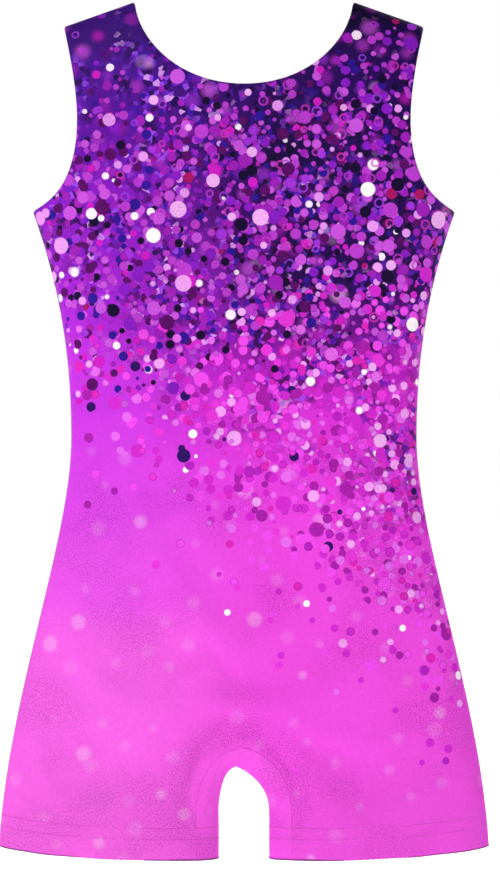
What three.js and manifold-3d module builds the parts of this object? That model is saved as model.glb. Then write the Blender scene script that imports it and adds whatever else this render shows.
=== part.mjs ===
// Sleeveless short-legged gymnastics leotard, softly filled as it hangs from the shoulders.
// Millimetres, +Z up. The front faces -Y and the wearer's left is at +X. The origin lies under
// the middle of the body, level with the lowest point of the leg hems.
import * as THREE from 'three';
import { mergeVertices } from 'three/addons/utils/BufferGeometryUtils.js';
import Module from 'manifold-3d';

const wasm = await Module();
wasm.setup();

// Body, seen flat. Half sizes run from the centre line.
const BODY_LENGTH = 580; // lowest point of the hems to the inner tips of the shoulders
const CHEST_HALF = 143; // at the underarms
const WAIST_HALF = 117;
const WAIST_HEIGHT = 285;
const HEM_HALF = 166;
const HEM_RISE = 8.5; // how far each hem climbs from the inner leg to the side

// Shoulders, neck and armholes
const NECK_HALF = 74;
const STRAP_SPAN = 48;
const SHOULDER_DROP = 17; // inner tip to outer tip of a shoulder
const FRONT_NECK_DEPTH = 58;
const BACK_NECK_DEPTH = 84;
const ARMHOLE_DEPTH = 125; // outer tip of the shoulder to the underarm
const ARMHOLE_SCOOP = 10; // how far the armhole cuts in past the shoulder's outer tip
const ARMHOLE_SCOOP_DROP = 65; // how far below that tip it is deepest

// Legs and crotch
const CROTCH_HEIGHT = 62;
const GAP_HALF = 17; // half the space between the legs
const ARCH_HEIGHT = 30; // the curved top of that space
const GUSSET_REACH = 15; // inner leg edge to the gusset seam, on the front and on the back
const LINING_REACH = 11;

// How the cloth is filled out
const CHEST_FILL = 22; // half the depth at the chest
const LEG_FILL = 15; // half the depth at the legs
const SIDE_ROLL = 56; // width over which the sides round off
const CROTCH_ROLL = 50; // the same around the space between the legs
const SHOULDER_ROLL = 100; // height over which the shoulders close
const ARM_ALLOWANCE = 12; // how far the chest still widens above the underarm

// Cloth, bands and seams
const CLOTH = 0.7;
const ELASTIC = 0.6;
const STITCHING = 0.5; // thickness of a flat band of stitching
const SEAM_GAP = 0.3; // between panels that are sewn edge to edge
const LAYER_GAP = 0.45; // between layers that lie on each other
const FOLD_GAP = 0.7; // between a fold and the seam allowances that stand inside it
const NECK_TURNING = 11; // depth of the turned-in cloth at the neck and armholes
const ELASTIC_WIDTH = 7;
const EDGE_STITCH_WIDTH = 4;
const HEM_DEPTH = 25;
const HEM_STITCH_LOW = 14; // the two needle rows of a hem, above its edge
const HEM_STITCH_HIGH = 21.5;
const EDGE_ALLOWANCE = 0.6; // inner layers stop this far inside a folded edge
const SEAM_WIDTH = 6; // sewn-together allowances of a seam
const SEAM_THICK = 1.2;

// Labels
const SIZE_LABEL = { width: 24, drop: 28, thick: 0.5 };
const CARE_LABEL = { reach: 30, height: 40, thick: 0.5, above: -20 };

// Sampling of the surfaces
const SIDE_STEPS = 7;
const MIDDLE_SHARES = [0, 0.2, 0.34, 0.52, 0.75];
const SHOULDER_STEPS = 10;
const BODY_STEP = 30;
const CROTCH_STEP = 15;
const NUDGE = 0.02; // distance inside an edge at which its slope is read
const OVERCUT = 8; // how far a cutting outline runs past the cloth
const CUTTER_DEPTH = 200;

const FRONT = -1;
const BACK = 1;
const FOLD = 0;
const CENTRE = 0;

const vec = (x, z) => new THREE.Vector2(x, z);
const { lerp, smoothstep, clamp } = THREE.MathUtils;

// ---------- Outline curves, right half, as (x, z) ----------

/** A curve between two points. Its handles are shares of the step from one to the other. */
function bow(from, to, [fromX, fromZ], [toX, toZ]) {
  const step = to.clone().sub(from);
  return new THREE.CubicBezierCurve(
    from,
    vec(from.x + step.x * fromX, from.y + step.y * fromZ),
    vec(to.x - step.x * toX, to.y - step.y * toZ),
    to,
  );
}

const strapInner = vec(NECK_HALF, BODY_LENGTH);
const strapOuter = vec(NECK_HALF + STRAP_SPAN, BODY_LENGTH - SHOULDER_DROP);
const scoop = vec(strapOuter.x - ARMHOLE_SCOOP, strapOuter.y - ARMHOLE_SCOOP_DROP);
const underarm = vec(CHEST_HALF, strapOuter.y - ARMHOLE_DEPTH);
const waist = vec(WAIST_HALF, WAIST_HEIGHT);
const hemOuter = vec(HEM_HALF, HEM_RISE);
const hemInner = vec(GAP_HALF, 0);
const crotch = vec(CENTRE, CROTCH_HEIGHT);
const archFoot = vec(GAP_HALF, CROTCH_HEIGHT - ARCH_HEIGHT);

const frontNeck = bow(strapInner, vec(CENTRE, BODY_LENGTH - FRONT_NECK_DEPTH), [0.05, 0.55], [0.54, 0]);
const backNeck = bow(strapInner, vec(CENTRE, BODY_LENGTH - BACK_NECK_DEPTH), [0.05, 0.55], [0.54, 0]);
const armholeTop = bow(strapOuter, scoop, [0.55, 0.34], [0, 0.26]);
const armholeFoot = bow(scoop, underarm, [0, 0.47], [0.74, 0.14]);
const sideTop = bow(underarm, waist, [0.65, 0.31], [0, 0.39]);
const sideFoot = bow(waist, hemOuter, [0, 0.25], [0.12, 0.37]);
const hemLine = bow(hemInner, hemOuter, [0.5, 0], [0.2, 0.5]);
const arch = bow(crotch, archFoot, [0.58, 0.13], [0, 0.47]);

/** The value of one coordinate of a curve where its other coordinate has a given value. */
function readCurve(curve, known, value, wanted) {
  let [low, high] = [0, 1];
  const rising = curve.v3[known] > curve.v0[known];
  for (let i = 0; i < 24; i += 1) {
    const middle = (low + high) / 2;
    if (curve.getPoint(middle)[known] < value === rising) low = middle;
    else high = middle;
  }
  return curve.getPoint(low)[wanted];
}

/** Half the width of the body at a height, carried on above the underarm. */
function sideHalf(z) {
  if (z >= underarm.y) {
    const slope = sideTop.getTangent(0);
    const climb = ((z - underarm.y) * slope.x) / slope.y;
    return underarm.x + ARM_ALLOWANCE * (1 - Math.exp(-climb / ARM_ALLOWANCE));
  }
  if (z >= waist.y) return readCurve(sideTop, 'y', z, 'x');
  return z <= hemOuter.y ? hemOuter.x : readCurve(sideFoot, 'y', z, 'x');
}

/** Height of the shoulder fold: straight along each strap, and one smooth cap over the neck. */
function shoulderHeight(x) {
  const slope = SHOULDER_DROP / STRAP_SPAN;
  const out = Math.abs(x) - NECK_HALF;
  if (out >= 0) return BODY_LENGTH - out * slope;
  return BODY_LENGTH + ((slope * NECK_HALF) / 2) * (1 - (x / NECK_HALF) ** 2);
}

/** Height of a leg's hem edge. */
function hemHeight(x) {
  const out = Math.abs(x);
  if (out <= hemInner.x) return 0;
  return out >= hemOuter.x ? hemOuter.y : readCurve(hemLine, 'x', out, 'y');
}

/** Half the space between the legs at a height under the crotch. */
const gapHalf = (z) => (z <= archFoot.y ? GAP_HALF : readCurve(arch, 'y', z, 'x'));

// The edge of the space between the legs, carried on below the hems.
const archPoints = [...arch.getPoints(20), vec(GAP_HALF, -HEM_DEPTH)];

/** Distance from the edge of the space between the legs. */
function gapDistance(x, z) {
  const point = vec(Math.abs(x), z);
  let nearest = Infinity;
  for (let i = 1; i < archPoints.length; i += 1) {
    const start = archPoints[i - 1];
    const along = archPoints[i].clone().sub(start);
    const share = clamp(point.clone().sub(start).dot(along) / along.lengthSq(), 0, 1);
    nearest = Math.min(nearest, start.clone().addScaledVector(along, share).distanceTo(point));
  }
  return nearest;
}

// ---------- The filled surface ----------

/** From 0 at an edge to 1 at one radius from it, along a quarter of an ellipse. */
function roll(distance, radius) {
  const rest = 1 - clamp(distance / radius, 0, 1);
  return Math.sqrt(1 - rest * rest);
}

/** Half the depth of the filled body. */
function halfDepth(x, z, leastGap = 0) {
  const fill = lerp(LEG_FILL, CHEST_FILL, smoothstep(z, CROTCH_HEIGHT, WAIST_HEIGHT));
  const nearCrotch = z < CROTCH_HEIGHT + CROTCH_ROLL;
  const crotchRoll = nearCrotch ? roll(Math.max(gapDistance(x, z), leastGap), CROTCH_ROLL) : 1;
  const sideRoll = roll(sideHalf(z) - Math.abs(x), SIDE_ROLL);
  return fill * crotchRoll * sideRoll * roll(shoulderHeight(x) - z, SHOULDER_ROLL);
}

/** A point of the body's surface, sunk along the inward normal. On a fold the front meets the back. */
function skin(x, z, face, sink, { apart = 0, leastGap = 0 } = {}) {
  const read = vec(Math.min(Math.abs(x), sideHalf(z) - NUDGE), Math.min(z, shoulderHeight(x) - NUDGE));
  if (gapDistance(x, z) < NUDGE) {
    const core = vec(CENTRE, Math.min(z, archFoot.y));
    read.addScaledVector(read.clone().sub(core).normalize(), NUDGE);
  }
  const [inX, inZ] = [Math.sign(x) * read.x, read.y];
  const half = NUDGE / 2;
  const slopeX = (halfDepth(inX + half, inZ, leastGap) - halfDepth(inX - half, inZ, leastGap)) / NUDGE;
  const slopeZ = (halfDepth(inX, inZ + half, leastGap) - halfDepth(inX, inZ - half, leastGap)) / NUDGE;
  const normal = new THREE.Vector3(-slopeX, face, -slopeZ).normalize();
  const depth = face === FOLD ? 0 : halfDepth(x, z, leastGap);
  return new THREE.Vector3(x, face * (depth + apart), z).addScaledVector(normal, -sink);
}

/** The outer and the inner point of a layer of cloth whose outside is sunk by a given depth. */
const layer = (x, z, face, sink, thick, options) => ({
  outer: skin(x, z, face, sink, options),
  inner: skin(x, z, face, sink + thick, options),
});

// ---------- Solids ----------

/** A band of cloth through stations, each a row of { outer, inner } pairs across the band. */
function band(stations, closed) {
  const across = stations[0].length;
  const positions = stations.flatMap((row) => row.flatMap(({ outer, inner }) => [...outer, ...inner]));
  const corner = (i, j, inner) => 2 * ((i % stations.length) * across + j) + inner;
  const faces = [];
  const quad = (a, b, c, d) => faces.push(a, b, c, a, c, d);
  const spans = closed ? stations.length : stations.length - 1;
  for (let i = 0; i < spans; i += 1) {
    for (let j = 0; j < across - 1; j += 1) {
      quad(corner(i, j, 0), corner(i + 1, j, 0), corner(i + 1, j + 1, 0), corner(i, j + 1, 0));
      quad(corner(i, j, 1), corner(i, j + 1, 1), corner(i + 1, j + 1, 1), corner(i + 1, j, 1));
    }
    const last = across - 1;
    quad(corner(i, 0, 0), corner(i, 0, 1), corner(i + 1, 0, 1), corner(i + 1, 0, 0));
    quad(corner(i, last, 0), corner(i + 1, last, 0), corner(i + 1, last, 1), corner(i, last, 1));
  }
  if (!closed) {
    for (let j = 0; j < across - 1; j += 1) {
      quad(corner(0, j, 0), corner(0, j + 1, 0), corner(0, j + 1, 1), corner(0, j, 1));
      quad(corner(spans, j, 0), corner(spans, j, 1), corner(spans, j + 1, 1), corner(spans, j + 1, 0));
    }
  }
  const geometry = new THREE.BufferGeometry();
  geometry.setAttribute('position', new THREE.Float32BufferAttribute(positions, 3));
  geometry.setIndex(signedVolume(positions, faces) < 0 ? faces.reverse() : faces);
  geometry.computeVertexNormals();
  return geometry;
}

/** Volume inside a closed triangle list, negative where its faces point inwards. */
function signedVolume(positions, faces) {
  const at = (i) => new THREE.Vector3().fromArray(positions, faces[i] * 3);
  let volume = 0;
  for (let i = 0; i < faces.length; i += 3) volume += at(i).dot(at(i + 1).cross(at(i + 2))) / 6;
  return volume;
}

/** A closed geometry as a solid that can be cut. */
function toSolid(geometry) {
  const bare = geometry.clone();
  bare.deleteAttribute('normal');
  bare.deleteAttribute('uv');
  const merged = mergeVertices(bare);
  return new wasm.Manifold(new wasm.Mesh({
    numProp: 3,
    vertProperties: new Float32Array(merged.attributes.position.array),
    triVerts: new Uint32Array(merged.index.array),
  }));
}

/** A solid as a geometry. */
function toGeometry(solid) {
  const { vertProperties, triVerts } = solid.getMesh();
  const geometry = new THREE.BufferGeometry();
  geometry.setAttribute('position', new THREE.BufferAttribute(vertProperties, 3));
  geometry.setIndex(new THREE.BufferAttribute(triVerts, 1));
  geometry.computeVertexNormals();
  return geometry;
}

/** A prism along Y over an outline in (x, z). */
function cutter(outline) {
  const shape = new THREE.Shape(outline);
  const prism = new THREE.ExtrudeGeometry(shape, { depth: CUTTER_DEPTH, bevelEnabled: false });
  prism.translate(0, 0, -CUTTER_DEPTH / 2).rotateX(Math.PI / 2);
  return prism;
}

// ---------- Panels ----------

/** Heights of the rows of a panel's grid, from the shoulders down past the hems. */
function panelRows() {
  const rows = [];
  for (let i = 0; i <= SHOULDER_STEPS; i += 1) {
    rows.push(BODY_LENGTH - SHOULDER_ROLL * (1 - Math.cos((i / SHOULDER_STEPS) * (Math.PI / 2))));
  }
  const crotchTop = CROTCH_HEIGHT + CROTCH_ROLL;
  const bodySpan = BODY_LENGTH - SHOULDER_ROLL - crotchTop;
  const bodySteps = Math.ceil(bodySpan / BODY_STEP);
  for (let i = 1; i <= bodySteps; i += 1) rows.push(crotchTop + bodySpan * (1 - i / bodySteps));
  const legSteps = Math.ceil((crotchTop + OVERCUT) / CROTCH_STEP);
  for (let i = 1; i <= legSteps; i += 1) rows.push(lerp(crotchTop, -OVERCUT, i / legSteps));
  return rows;
}

/** Places across the body at a height: close together where the sides round off. */
function panelColumns(z) {
  const half = sideHalf(z);
  const middle = MIDDLE_SHARES.map((share) => share * (half - SIDE_ROLL));
  const side = [];
  for (let i = SIDE_STEPS; i >= 0; i -= 1) {
    side.push(half - SIDE_ROLL * (1 - Math.cos((i / SIDE_STEPS) * (Math.PI / 2))));
  }
  const right = [...middle, ...side];
  return [...right.slice(1).reverse().map((x) => -x), ...right];
}

/** A panel's full sheet before it is cut to its outline. */
function panelSheet(face) {
  const options = { apart: SEAM_GAP / 2, leastGap: GUSSET_REACH / 2 };
  return band(panelRows().map((height) => {
    const bend = smoothstep(height, underarm.y, BODY_LENGTH);
    return panelColumns(height).map((x) => {
      const z = height + (shoulderHeight(x) - BODY_LENGTH) * bend;
      return layer(x, z, face, 0, CLOTH, options);
    });
  }), false);
}

/** A point past the start of a curve, along its tangent. */
const before = (curve) => curve.getPoint(0).addScaledVector(curve.getTangent(0), -OVERCUT);
/** A point past the end of a curve, along its tangent. */
const after = (curve) => curve.getPoint(1).addScaledVector(curve.getTangent(1), OVERCUT);

/** Which way the cloth lies from the edge between the legs: straight up at the crotch. */
function archLean(share) {
  const tangent = arch.getTangent(share);
  return share === 0 ? vec(0, 1) : vec(-tangent.y, tangent.x);
}

/** The line at a distance from the edge of the space between the legs, down to the foot of its arch. */
function archRail(reach) {
  const steps = 10;
  return Array.from({ length: steps + 1 }, (_, i) => {
    const share = i / steps;
    return arch.getPoint(share).addScaledVector(archLean(share), reach);
  });
}

/** A panel's outline, past the seams at the shoulders and the sides, up to the gusset. */
function panelOutline(neck) {
  const reach = GUSSET_REACH + SEAM_GAP / 2;
  const inner = archRail(reach);
  const hemFoot = vec(GAP_HALF + reach, hemHeight(GAP_HALF + reach));
  const hem = hemLine.getPoints(12).filter((point) => point.x > hemFoot.x).reverse();
  const right = [
    ...neck.getPoints(14).reverse(),
    before(neck),
    before(armholeTop),
    ...armholeTop.getPoints(8),
    ...armholeFoot.getPoints(12).slice(1),
    after(armholeFoot),
    vec(HEM_HALF + 2 * OVERCUT, WAIST_HEIGHT),
    after(hemLine).setX(HEM_HALF + 2 * OVERCUT),
    ...hem,
    hemFoot,
    ...inner.reverse(),
  ];
  const left = right.slice(1, -1).reverse().map((point) => vec(-point.x, point.y));
  return [...right, ...left];
}

/** A panel: its sheet cut to its outline. */
function panel(face, neck) {
  const sheet = toSolid(panelSheet(face));
  return toGeometry(sheet.intersect(toSolid(cutter(panelOutline(neck)))));
}

// ---------- Crotch pieces, swept along the arch ----------

/** Stations along the space between the legs, each a place and the lean of its edge, left to right. */
function archStations(foot) {
  const curveSteps = 7;
  const legSteps = 2;
  const right = [];
  for (let i = 0; i <= curveSteps; i += 1) {
    const share = i / curveSteps;
    right.push({ at: arch.getPoint(share), lean: archLean(share), low: 0, foot });
  }
  for (let i = 1; i <= legSteps; i += 1) {
    right.push({ at: archFoot.clone(), lean: vec(1, 0), low: i / legSteps, foot });
  }
  const left = right.slice(1).reverse().map((station) => ({ ...station, mirror: true }));
  return [...left, ...right];
}

/** The (x, z) place at a distance from the edge between the legs, at one station. */
function archPlace({ at, lean, low, foot, mirror }, reach) {
  const place = at.clone().addScaledVector(lean, reach);
  if (low > 0) place.y = lerp(archFoot.y, hemHeight(place.x) + foot, low);
  if (mirror) place.x = -place.x;
  return place;
}

/** A strip folded over the edge between the legs, from the front to the back. */
function gussetStrip(reach, foot, sink, thick, steps) {
  return band(archStations(foot).map((station) => {
    const most = Math.acos(1 - reach / CROTCH_ROLL);
    const row = [];
    for (let i = -steps; i <= steps; i += 1) {
      const place = archPlace(station, CROTCH_ROLL * (1 - Math.cos((i / steps) * most)));
      row.push(layer(place.x, place.y, Math.sign(i), sink, thick));
    }
    return row;
  }), false);
}

/** The sewn-together allowances along one side of the gusset. */
function gussetSeam(face) {
  const sink = CLOTH + 2 * LAYER_GAP;
  const foot = HEM_DEPTH + SEAM_GAP;
  return band(archStations(foot).map((station) => [-0.5, 0.5].map((share) => {
    const place = archPlace(station, GUSSET_REACH + share * SEAM_WIDTH);
    return layer(place.x, place.y, face, sink, STITCHING);
  })), false);
}

// ---------- Bands round the openings ----------

/** Shares from 0 to 1 that crowd towards 0, where the cloth turns sharply. */
const crowded = (steps) => Array.from({ length: steps + 1 }, (_, i) => (i / steps) ** 2);

const alongShoulder = strapOuter.clone().sub(strapInner).normalize();

/** A place at a distance inside the neck edge. It stays on the shoulder fold at the strap. */
function neckPlace(neck, share, depth) {
  const tangent = neck.getTangent(share);
  const lean = vec(-tangent.y, tangent.x).lerp(alongShoulder, 1 - smoothstep(share, 0, 0.3)).normalize();
  return neck.getPoint(share).addScaledVector(lean, depth);
}

/** A place at a distance inside the armhole edge. It stays on the shoulder fold and on the side seam. */
function armholePlace(share, depth) {
  const top = share < 1;
  const curve = top ? armholeTop : armholeFoot;
  const local = top ? share : share - 1;
  if (share === 2) return vec(sideHalf(underarm.y - depth), underarm.y - depth);
  const tangent = curve.getTangent(local);
  const lean = vec(tangent.y, -tangent.x);
  if (top) lean.lerp(alongShoulder.clone().negate(), 1 - smoothstep(share, 0, 0.5));
  const place = curve.getPoint(local).addScaledVector(lean.normalize(), depth);
  place.x = Math.min(place.x, sideHalf(place.y));
  return place;
}

/** One row of a band at an edge, from the depth nearest the edge to the depth furthest inside it. */
const edgeRow = (place, mirror, face, [near, far], sink, thick) => [near, far].map((depth) => {
  const { x, y: z } = place(depth);
  return layer(mirror * x, z, face, sink, thick);
});

/** A band round the neck, inside the cloth. */
function neckBand(depths, sink, thick) {
  const shares = crowded(10);
  const rows = [];
  const add = (neck, face, mirror, list) => list.forEach((share) => {
    const side = share === 0 ? FOLD : face;
    rows.push(edgeRow((depth) => neckPlace(neck, share, depth), mirror, side, depths, sink, thick));
  });
  add(frontNeck, FRONT, 1, shares);
  add(frontNeck, FRONT, -1, shares.slice(0, -1).reverse());
  add(backNeck, BACK, -1, shares.slice(1));
  add(backNeck, BACK, 1, shares.slice(1, -1).reverse());
  return band(rows, true);
}

/** A band round one armhole, inside the cloth. */
function armholeBand(mirror, depths, sink, thick) {
  const top = crowded(8);
  const foot = crowded(9).map((share) => 2 - share).reverse();
  const shares = [...top.slice(0, -1), ...foot];
  const inner = shares.slice(1, -1);
  const row = (share, face) => {
    const place = (depth) => armholePlace(share, depth);
    return edgeRow(place, mirror, face, depths, sink, thick);
  };
  return band([
    row(0, FOLD),
    ...inner.map((share) => row(share, FRONT)),
    row(2, FOLD),
    ...inner.reverse().map((share) => row(share, BACK)),
  ], true);
}

/** A band round one leg, inside the cloth, between two heights above the hem edge. */
function legBand(mirror, [near, far], sink, thick) {
  const steps = 17;
  const row = (share, face) => [near, far].map((rise) => {
    const z = hemHeight(lerp(GAP_HALF, HEM_HALF, share)) + rise;
    return layer(mirror * lerp(gapHalf(z), sideHalf(z), share), z, face, sink, thick);
  });
  const shares = Array.from({ length: steps - 1 }, (_, i) => (1 - Math.cos(((i + 1) / steps) * Math.PI)) / 2);
  return band([
    row(0, FOLD),
    ...shares.map((share) => row(share, FRONT)),
    row(1, FOLD),
    ...shares.reverse().map((share) => row(share, BACK)),
  ], true);
}

// ---------- Side and shoulder seams ----------

/** A flat strip of sewn-together allowances between two rails in the plane of the fold. */
function foldSeam(outerRail, innerRail) {
  const half = SEAM_THICK / 2;
  return band(outerRail.map((place, i) => [place, innerRail[i]].map(({ x, y: z }) => ({
    outer: new THREE.Vector3(x, -half, z),
    inner: new THREE.Vector3(x, half, z),
  }))), false);
}

/** The seam down one side, from under the armhole's band to over the leg's hem. */
function sideSeam(mirror) {
  const inset = CLOTH + FOLD_GAP;
  const top = underarm.y - NECK_TURNING - LAYER_GAP - SEAM_GAP;
  const foot = HEM_RISE + HEM_DEPTH + LAYER_GAP;
  const steps = 16;
  const rail = (depth) => Array.from({ length: steps + 1 }, (_, i) => {
    const z = lerp(foot, top, i / steps);
    return vec(mirror * (sideHalf(z) - depth), z);
  });
  return foldSeam(rail(inset), rail(inset + SEAM_WIDTH));
}

/** The seam along one shoulder, between the bands of the neck and the armhole. */
function shoulderSeam(mirror) {
  const inset = CLOTH + FOLD_GAP;
  const ends = [NECK_TURNING + FOLD_GAP, strapOuter.distanceTo(strapInner) - NECK_TURNING - FOLD_GAP];
  const down = vec(alongShoulder.y, -alongShoulder.x);
  const rail = (depth) => ends.map((along) => {
    const place = strapInner.clone().addScaledVector(alongShoulder, along).addScaledVector(down, depth);
    return vec(mirror * place.x, place.y);
  });
  return foldSeam(rail(inset), rail(inset + SEAM_WIDTH));
}

// ---------- Labels ----------

const turningSink = CLOTH + ELASTIC + 2 * LAYER_GAP;
const edgeStitchSink = turningSink + CLOTH + LAYER_GAP;

/** The size label hangs inside the back neck from the lower edge of the neck's stitching. */
function sizeLabel() {
  const top = BODY_LENGTH - BACK_NECK_DEPTH - NECK_TURNING + EDGE_STITCH_WIDTH / 2;
  const label = new THREE.BoxGeometry(SIZE_LABEL.width, SIZE_LABEL.thick, SIZE_LABEL.drop);
  const wall = skin(0, top, BACK, edgeStitchSink + STITCHING + LAYER_GAP).y;
  return label.translate(0, wall - SIZE_LABEL.thick / 2, top - SIZE_LABEL.drop / 2);
}

/** The care label stands in from the allowances of the left side seam. */
function careLabel() {
  const middle = WAIST_HEIGHT + CARE_LABEL.above;
  const ends = [middle - CARE_LABEL.height / 2, middle, middle + CARE_LABEL.height / 2];
  const seamEdge = Math.min(...ends.map(sideHalf)) - CLOTH - FOLD_GAP - SEAM_WIDTH - SEAM_GAP;
  const label = new THREE.BoxGeometry(CARE_LABEL.reach, CARE_LABEL.thick, CARE_LABEL.height);
  return label.translate(seamEdge - CARE_LABEL.reach / 2, 0, middle);
}

// ---------- Assembly ----------

const finishes = {
  print: { color: 0xc436c9, roughness: 0.62 },
  pink: { color: 0xe455d0, roughness: 0.65 },
  lining: { color: 0xf3e6ee, roughness: 0.9 },
  elastic: { color: 0xf2f0f2, roughness: 0.8 },
  thread: { color: 0x8a2a96, roughness: 0.75 },
  label: { color: 0xf7f6f4, roughness: 0.5 },
};

const group = new THREE.Group();

/** Adds one named sub-part in one of the finishes. */
function add(name, geometry, finish) {
  const material = new THREE.MeshStandardMaterial({ ...finishes[finish], metalness: 0 });
  const mesh = new THREE.Mesh(geometry, material);
  mesh.name = name;
  group.add(mesh);
}

add('front_panel', panel(FRONT, frontNeck), 'print');
add('back_panel', panel(BACK, backNeck), 'print');

const liningFoot = HEM_DEPTH + SEAM_GAP;
add('crotch_gusset', gussetStrip(GUSSET_REACH - SEAM_GAP / 2, 0, 0, CLOTH, 4), 'pink');
add('gusset_lining', gussetStrip(LINING_REACH, liningFoot, CLOTH + LAYER_GAP, CLOTH, 3), 'lining');
add('gusset_front_seam', gussetSeam(FRONT), 'thread');
add('gusset_back_seam', gussetSeam(BACK), 'thread');

const elasticSink = CLOTH + LAYER_GAP;
const elasticDepths = [EDGE_ALLOWANCE, EDGE_ALLOWANCE + ELASTIC_WIDTH];
const turningDepths = [EDGE_ALLOWANCE, NECK_TURNING];
const edgeStitchDepths = [NECK_TURNING - EDGE_STITCH_WIDTH, NECK_TURNING];
add('neck_elastic', neckBand(elasticDepths, elasticSink, ELASTIC), 'elastic');
add('neck_turning', neckBand(turningDepths, turningSink, CLOTH), 'print');
add('neck_stitching', neckBand(edgeStitchDepths, edgeStitchSink, STITCHING), 'thread');

const hemSink = CLOTH + LAYER_GAP;
const hemDepths = [EDGE_ALLOWANCE, HEM_DEPTH];
const hemStitchSink = 2 * (CLOTH + LAYER_GAP);
const hemStitchDepths = [HEM_STITCH_LOW, HEM_STITCH_HIGH];
for (const [side, mirror] of [['left', 1], ['right', -1]]) {
  const armhole = (depths, sink, thick) => armholeBand(mirror, depths, sink, thick);
  add(`${side}_shoulder_seam`, shoulderSeam(mirror), 'thread');
  add(`${side}_side_seam`, sideSeam(mirror), 'thread');
  add(`${side}_armhole_elastic`, armhole(elasticDepths, elasticSink, ELASTIC), 'elastic');
  add(`${side}_armhole_turning`, armhole(turningDepths, turningSink, CLOTH), 'print');
  add(`${side}_armhole_stitching`, armhole(edgeStitchDepths, edgeStitchSink, STITCHING), 'thread');
  add(`${side}_leg_hem`, legBand(mirror, hemDepths, hemSink, CLOTH), 'pink');
  add(`${side}_hem_stitching`, legBand(mirror, hemStitchDepths, hemStitchSink, STITCHING), 'thread');
}

add('size_label', sizeLabel(), 'label');
add('care_label', careLabel(), 'label');

export default group;
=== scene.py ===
"""Gymnastics leotard with short legs, cut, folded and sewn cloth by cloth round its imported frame.

Metres throughout, +Z up. The front faces -Y and the wearer's left is at +X.
"""

from __future__ import annotations

import logging
import math
from collections.abc import Callable, Sequence
from dataclasses import dataclass, replace
from enum import Enum
from typing import ClassVar

import bpy
import numpy as np
from mathutils import Matrix, Vector, geometry, kdtree


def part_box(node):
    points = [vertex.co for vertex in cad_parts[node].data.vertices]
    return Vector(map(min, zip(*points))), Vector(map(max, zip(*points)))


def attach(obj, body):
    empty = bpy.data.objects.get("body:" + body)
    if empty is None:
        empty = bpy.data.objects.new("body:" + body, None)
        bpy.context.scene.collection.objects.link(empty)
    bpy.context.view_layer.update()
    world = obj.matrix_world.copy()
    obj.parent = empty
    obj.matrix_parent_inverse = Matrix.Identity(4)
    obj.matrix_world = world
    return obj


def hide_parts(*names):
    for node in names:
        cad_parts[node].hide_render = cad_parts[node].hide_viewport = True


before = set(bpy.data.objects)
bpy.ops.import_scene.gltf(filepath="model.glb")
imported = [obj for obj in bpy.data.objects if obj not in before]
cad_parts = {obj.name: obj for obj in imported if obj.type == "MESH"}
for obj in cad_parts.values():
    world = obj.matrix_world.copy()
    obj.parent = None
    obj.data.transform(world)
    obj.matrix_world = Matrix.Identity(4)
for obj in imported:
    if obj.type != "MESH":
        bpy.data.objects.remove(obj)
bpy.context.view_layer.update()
LOG = logging.getLogger("leotard")
Array = np.ndarray
Piece, Material, Socket = bpy.types.Object, bpy.types.Material, bpy.types.NodeSocket
Rows = Callable[[Sequence[float], float], tuple[Array, Array]]  # of depths and a sink, to points and normals
NUDGE = 0.00002  # distance inside an edge at which its slope is read
FAR = 9.0  # further than any two places of the garment are apart
ROW_STEP = 0.0030  # spacing of the rows of points along a strip of cloth
SEAM_TAIL = 0.0012  # how far a seam's edge goes on inwards after its turn
END_GAP = 0.0003  # space between the leg hem and the pieces that end above it
OVERLOCK_STITCH = 0.0027
OVERLOCK_THREAD = 0.00017  # half its thickness
OVERLOCK_REACH = 0.0003  # how far the loops go past the cloth's edge
WHITE = (1.0, 1.0, 1.0, 1.0)


class Face(Enum):
    """Which half of the garment a place is on."""

    FRONT = -1
    BACK = 1


class Hand(Enum):
    """Which side of the wearer a piece is on."""

    LEFT = 1
    RIGHT = -1

    @property
    def word(self) -> str:
        """The side as it is written in a piece's name."""
        return self.name.lower()


# ---------------------------------------------------------------------------
# The cut: outline curves and the filled surface
# ---------------------------------------------------------------------------


def smooth_step(value: Array | float, low: float, high: float) -> Array:
    """A soft step from 0 at low to 1 at high."""
    share = np.clip((np.asarray(value, float) - low) / (high - low), 0.0, 1.0)
    return share * share * (3.0 - 2.0 * share)


def unit(vectors: Array) -> Array:
    """The vectors at length 1."""
    return vectors / np.maximum(np.linalg.norm(vectors, axis=-1, keepdims=True), 1e-12)


def run_length(line: Array) -> Array:
    """The distance along a line of points, at each of them."""
    return np.concatenate([[0.0], np.cumsum(np.linalg.norm(np.diff(line, axis=0), axis=1))])


def lattice(across: Array, along: Array) -> Array:
    """Flat pattern places of a straight strip, (along, across, 2)."""
    return np.stack(np.meshgrid(across, along), -1)


def tree_of(places: Array) -> kdtree.KDTree:
    """A search tree of flat pattern places."""
    tree = kdtree.KDTree(len(places))
    for i, spot in enumerate(places):
        tree.insert((*spot, 0.0), i)
    tree.balance()
    return tree


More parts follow.
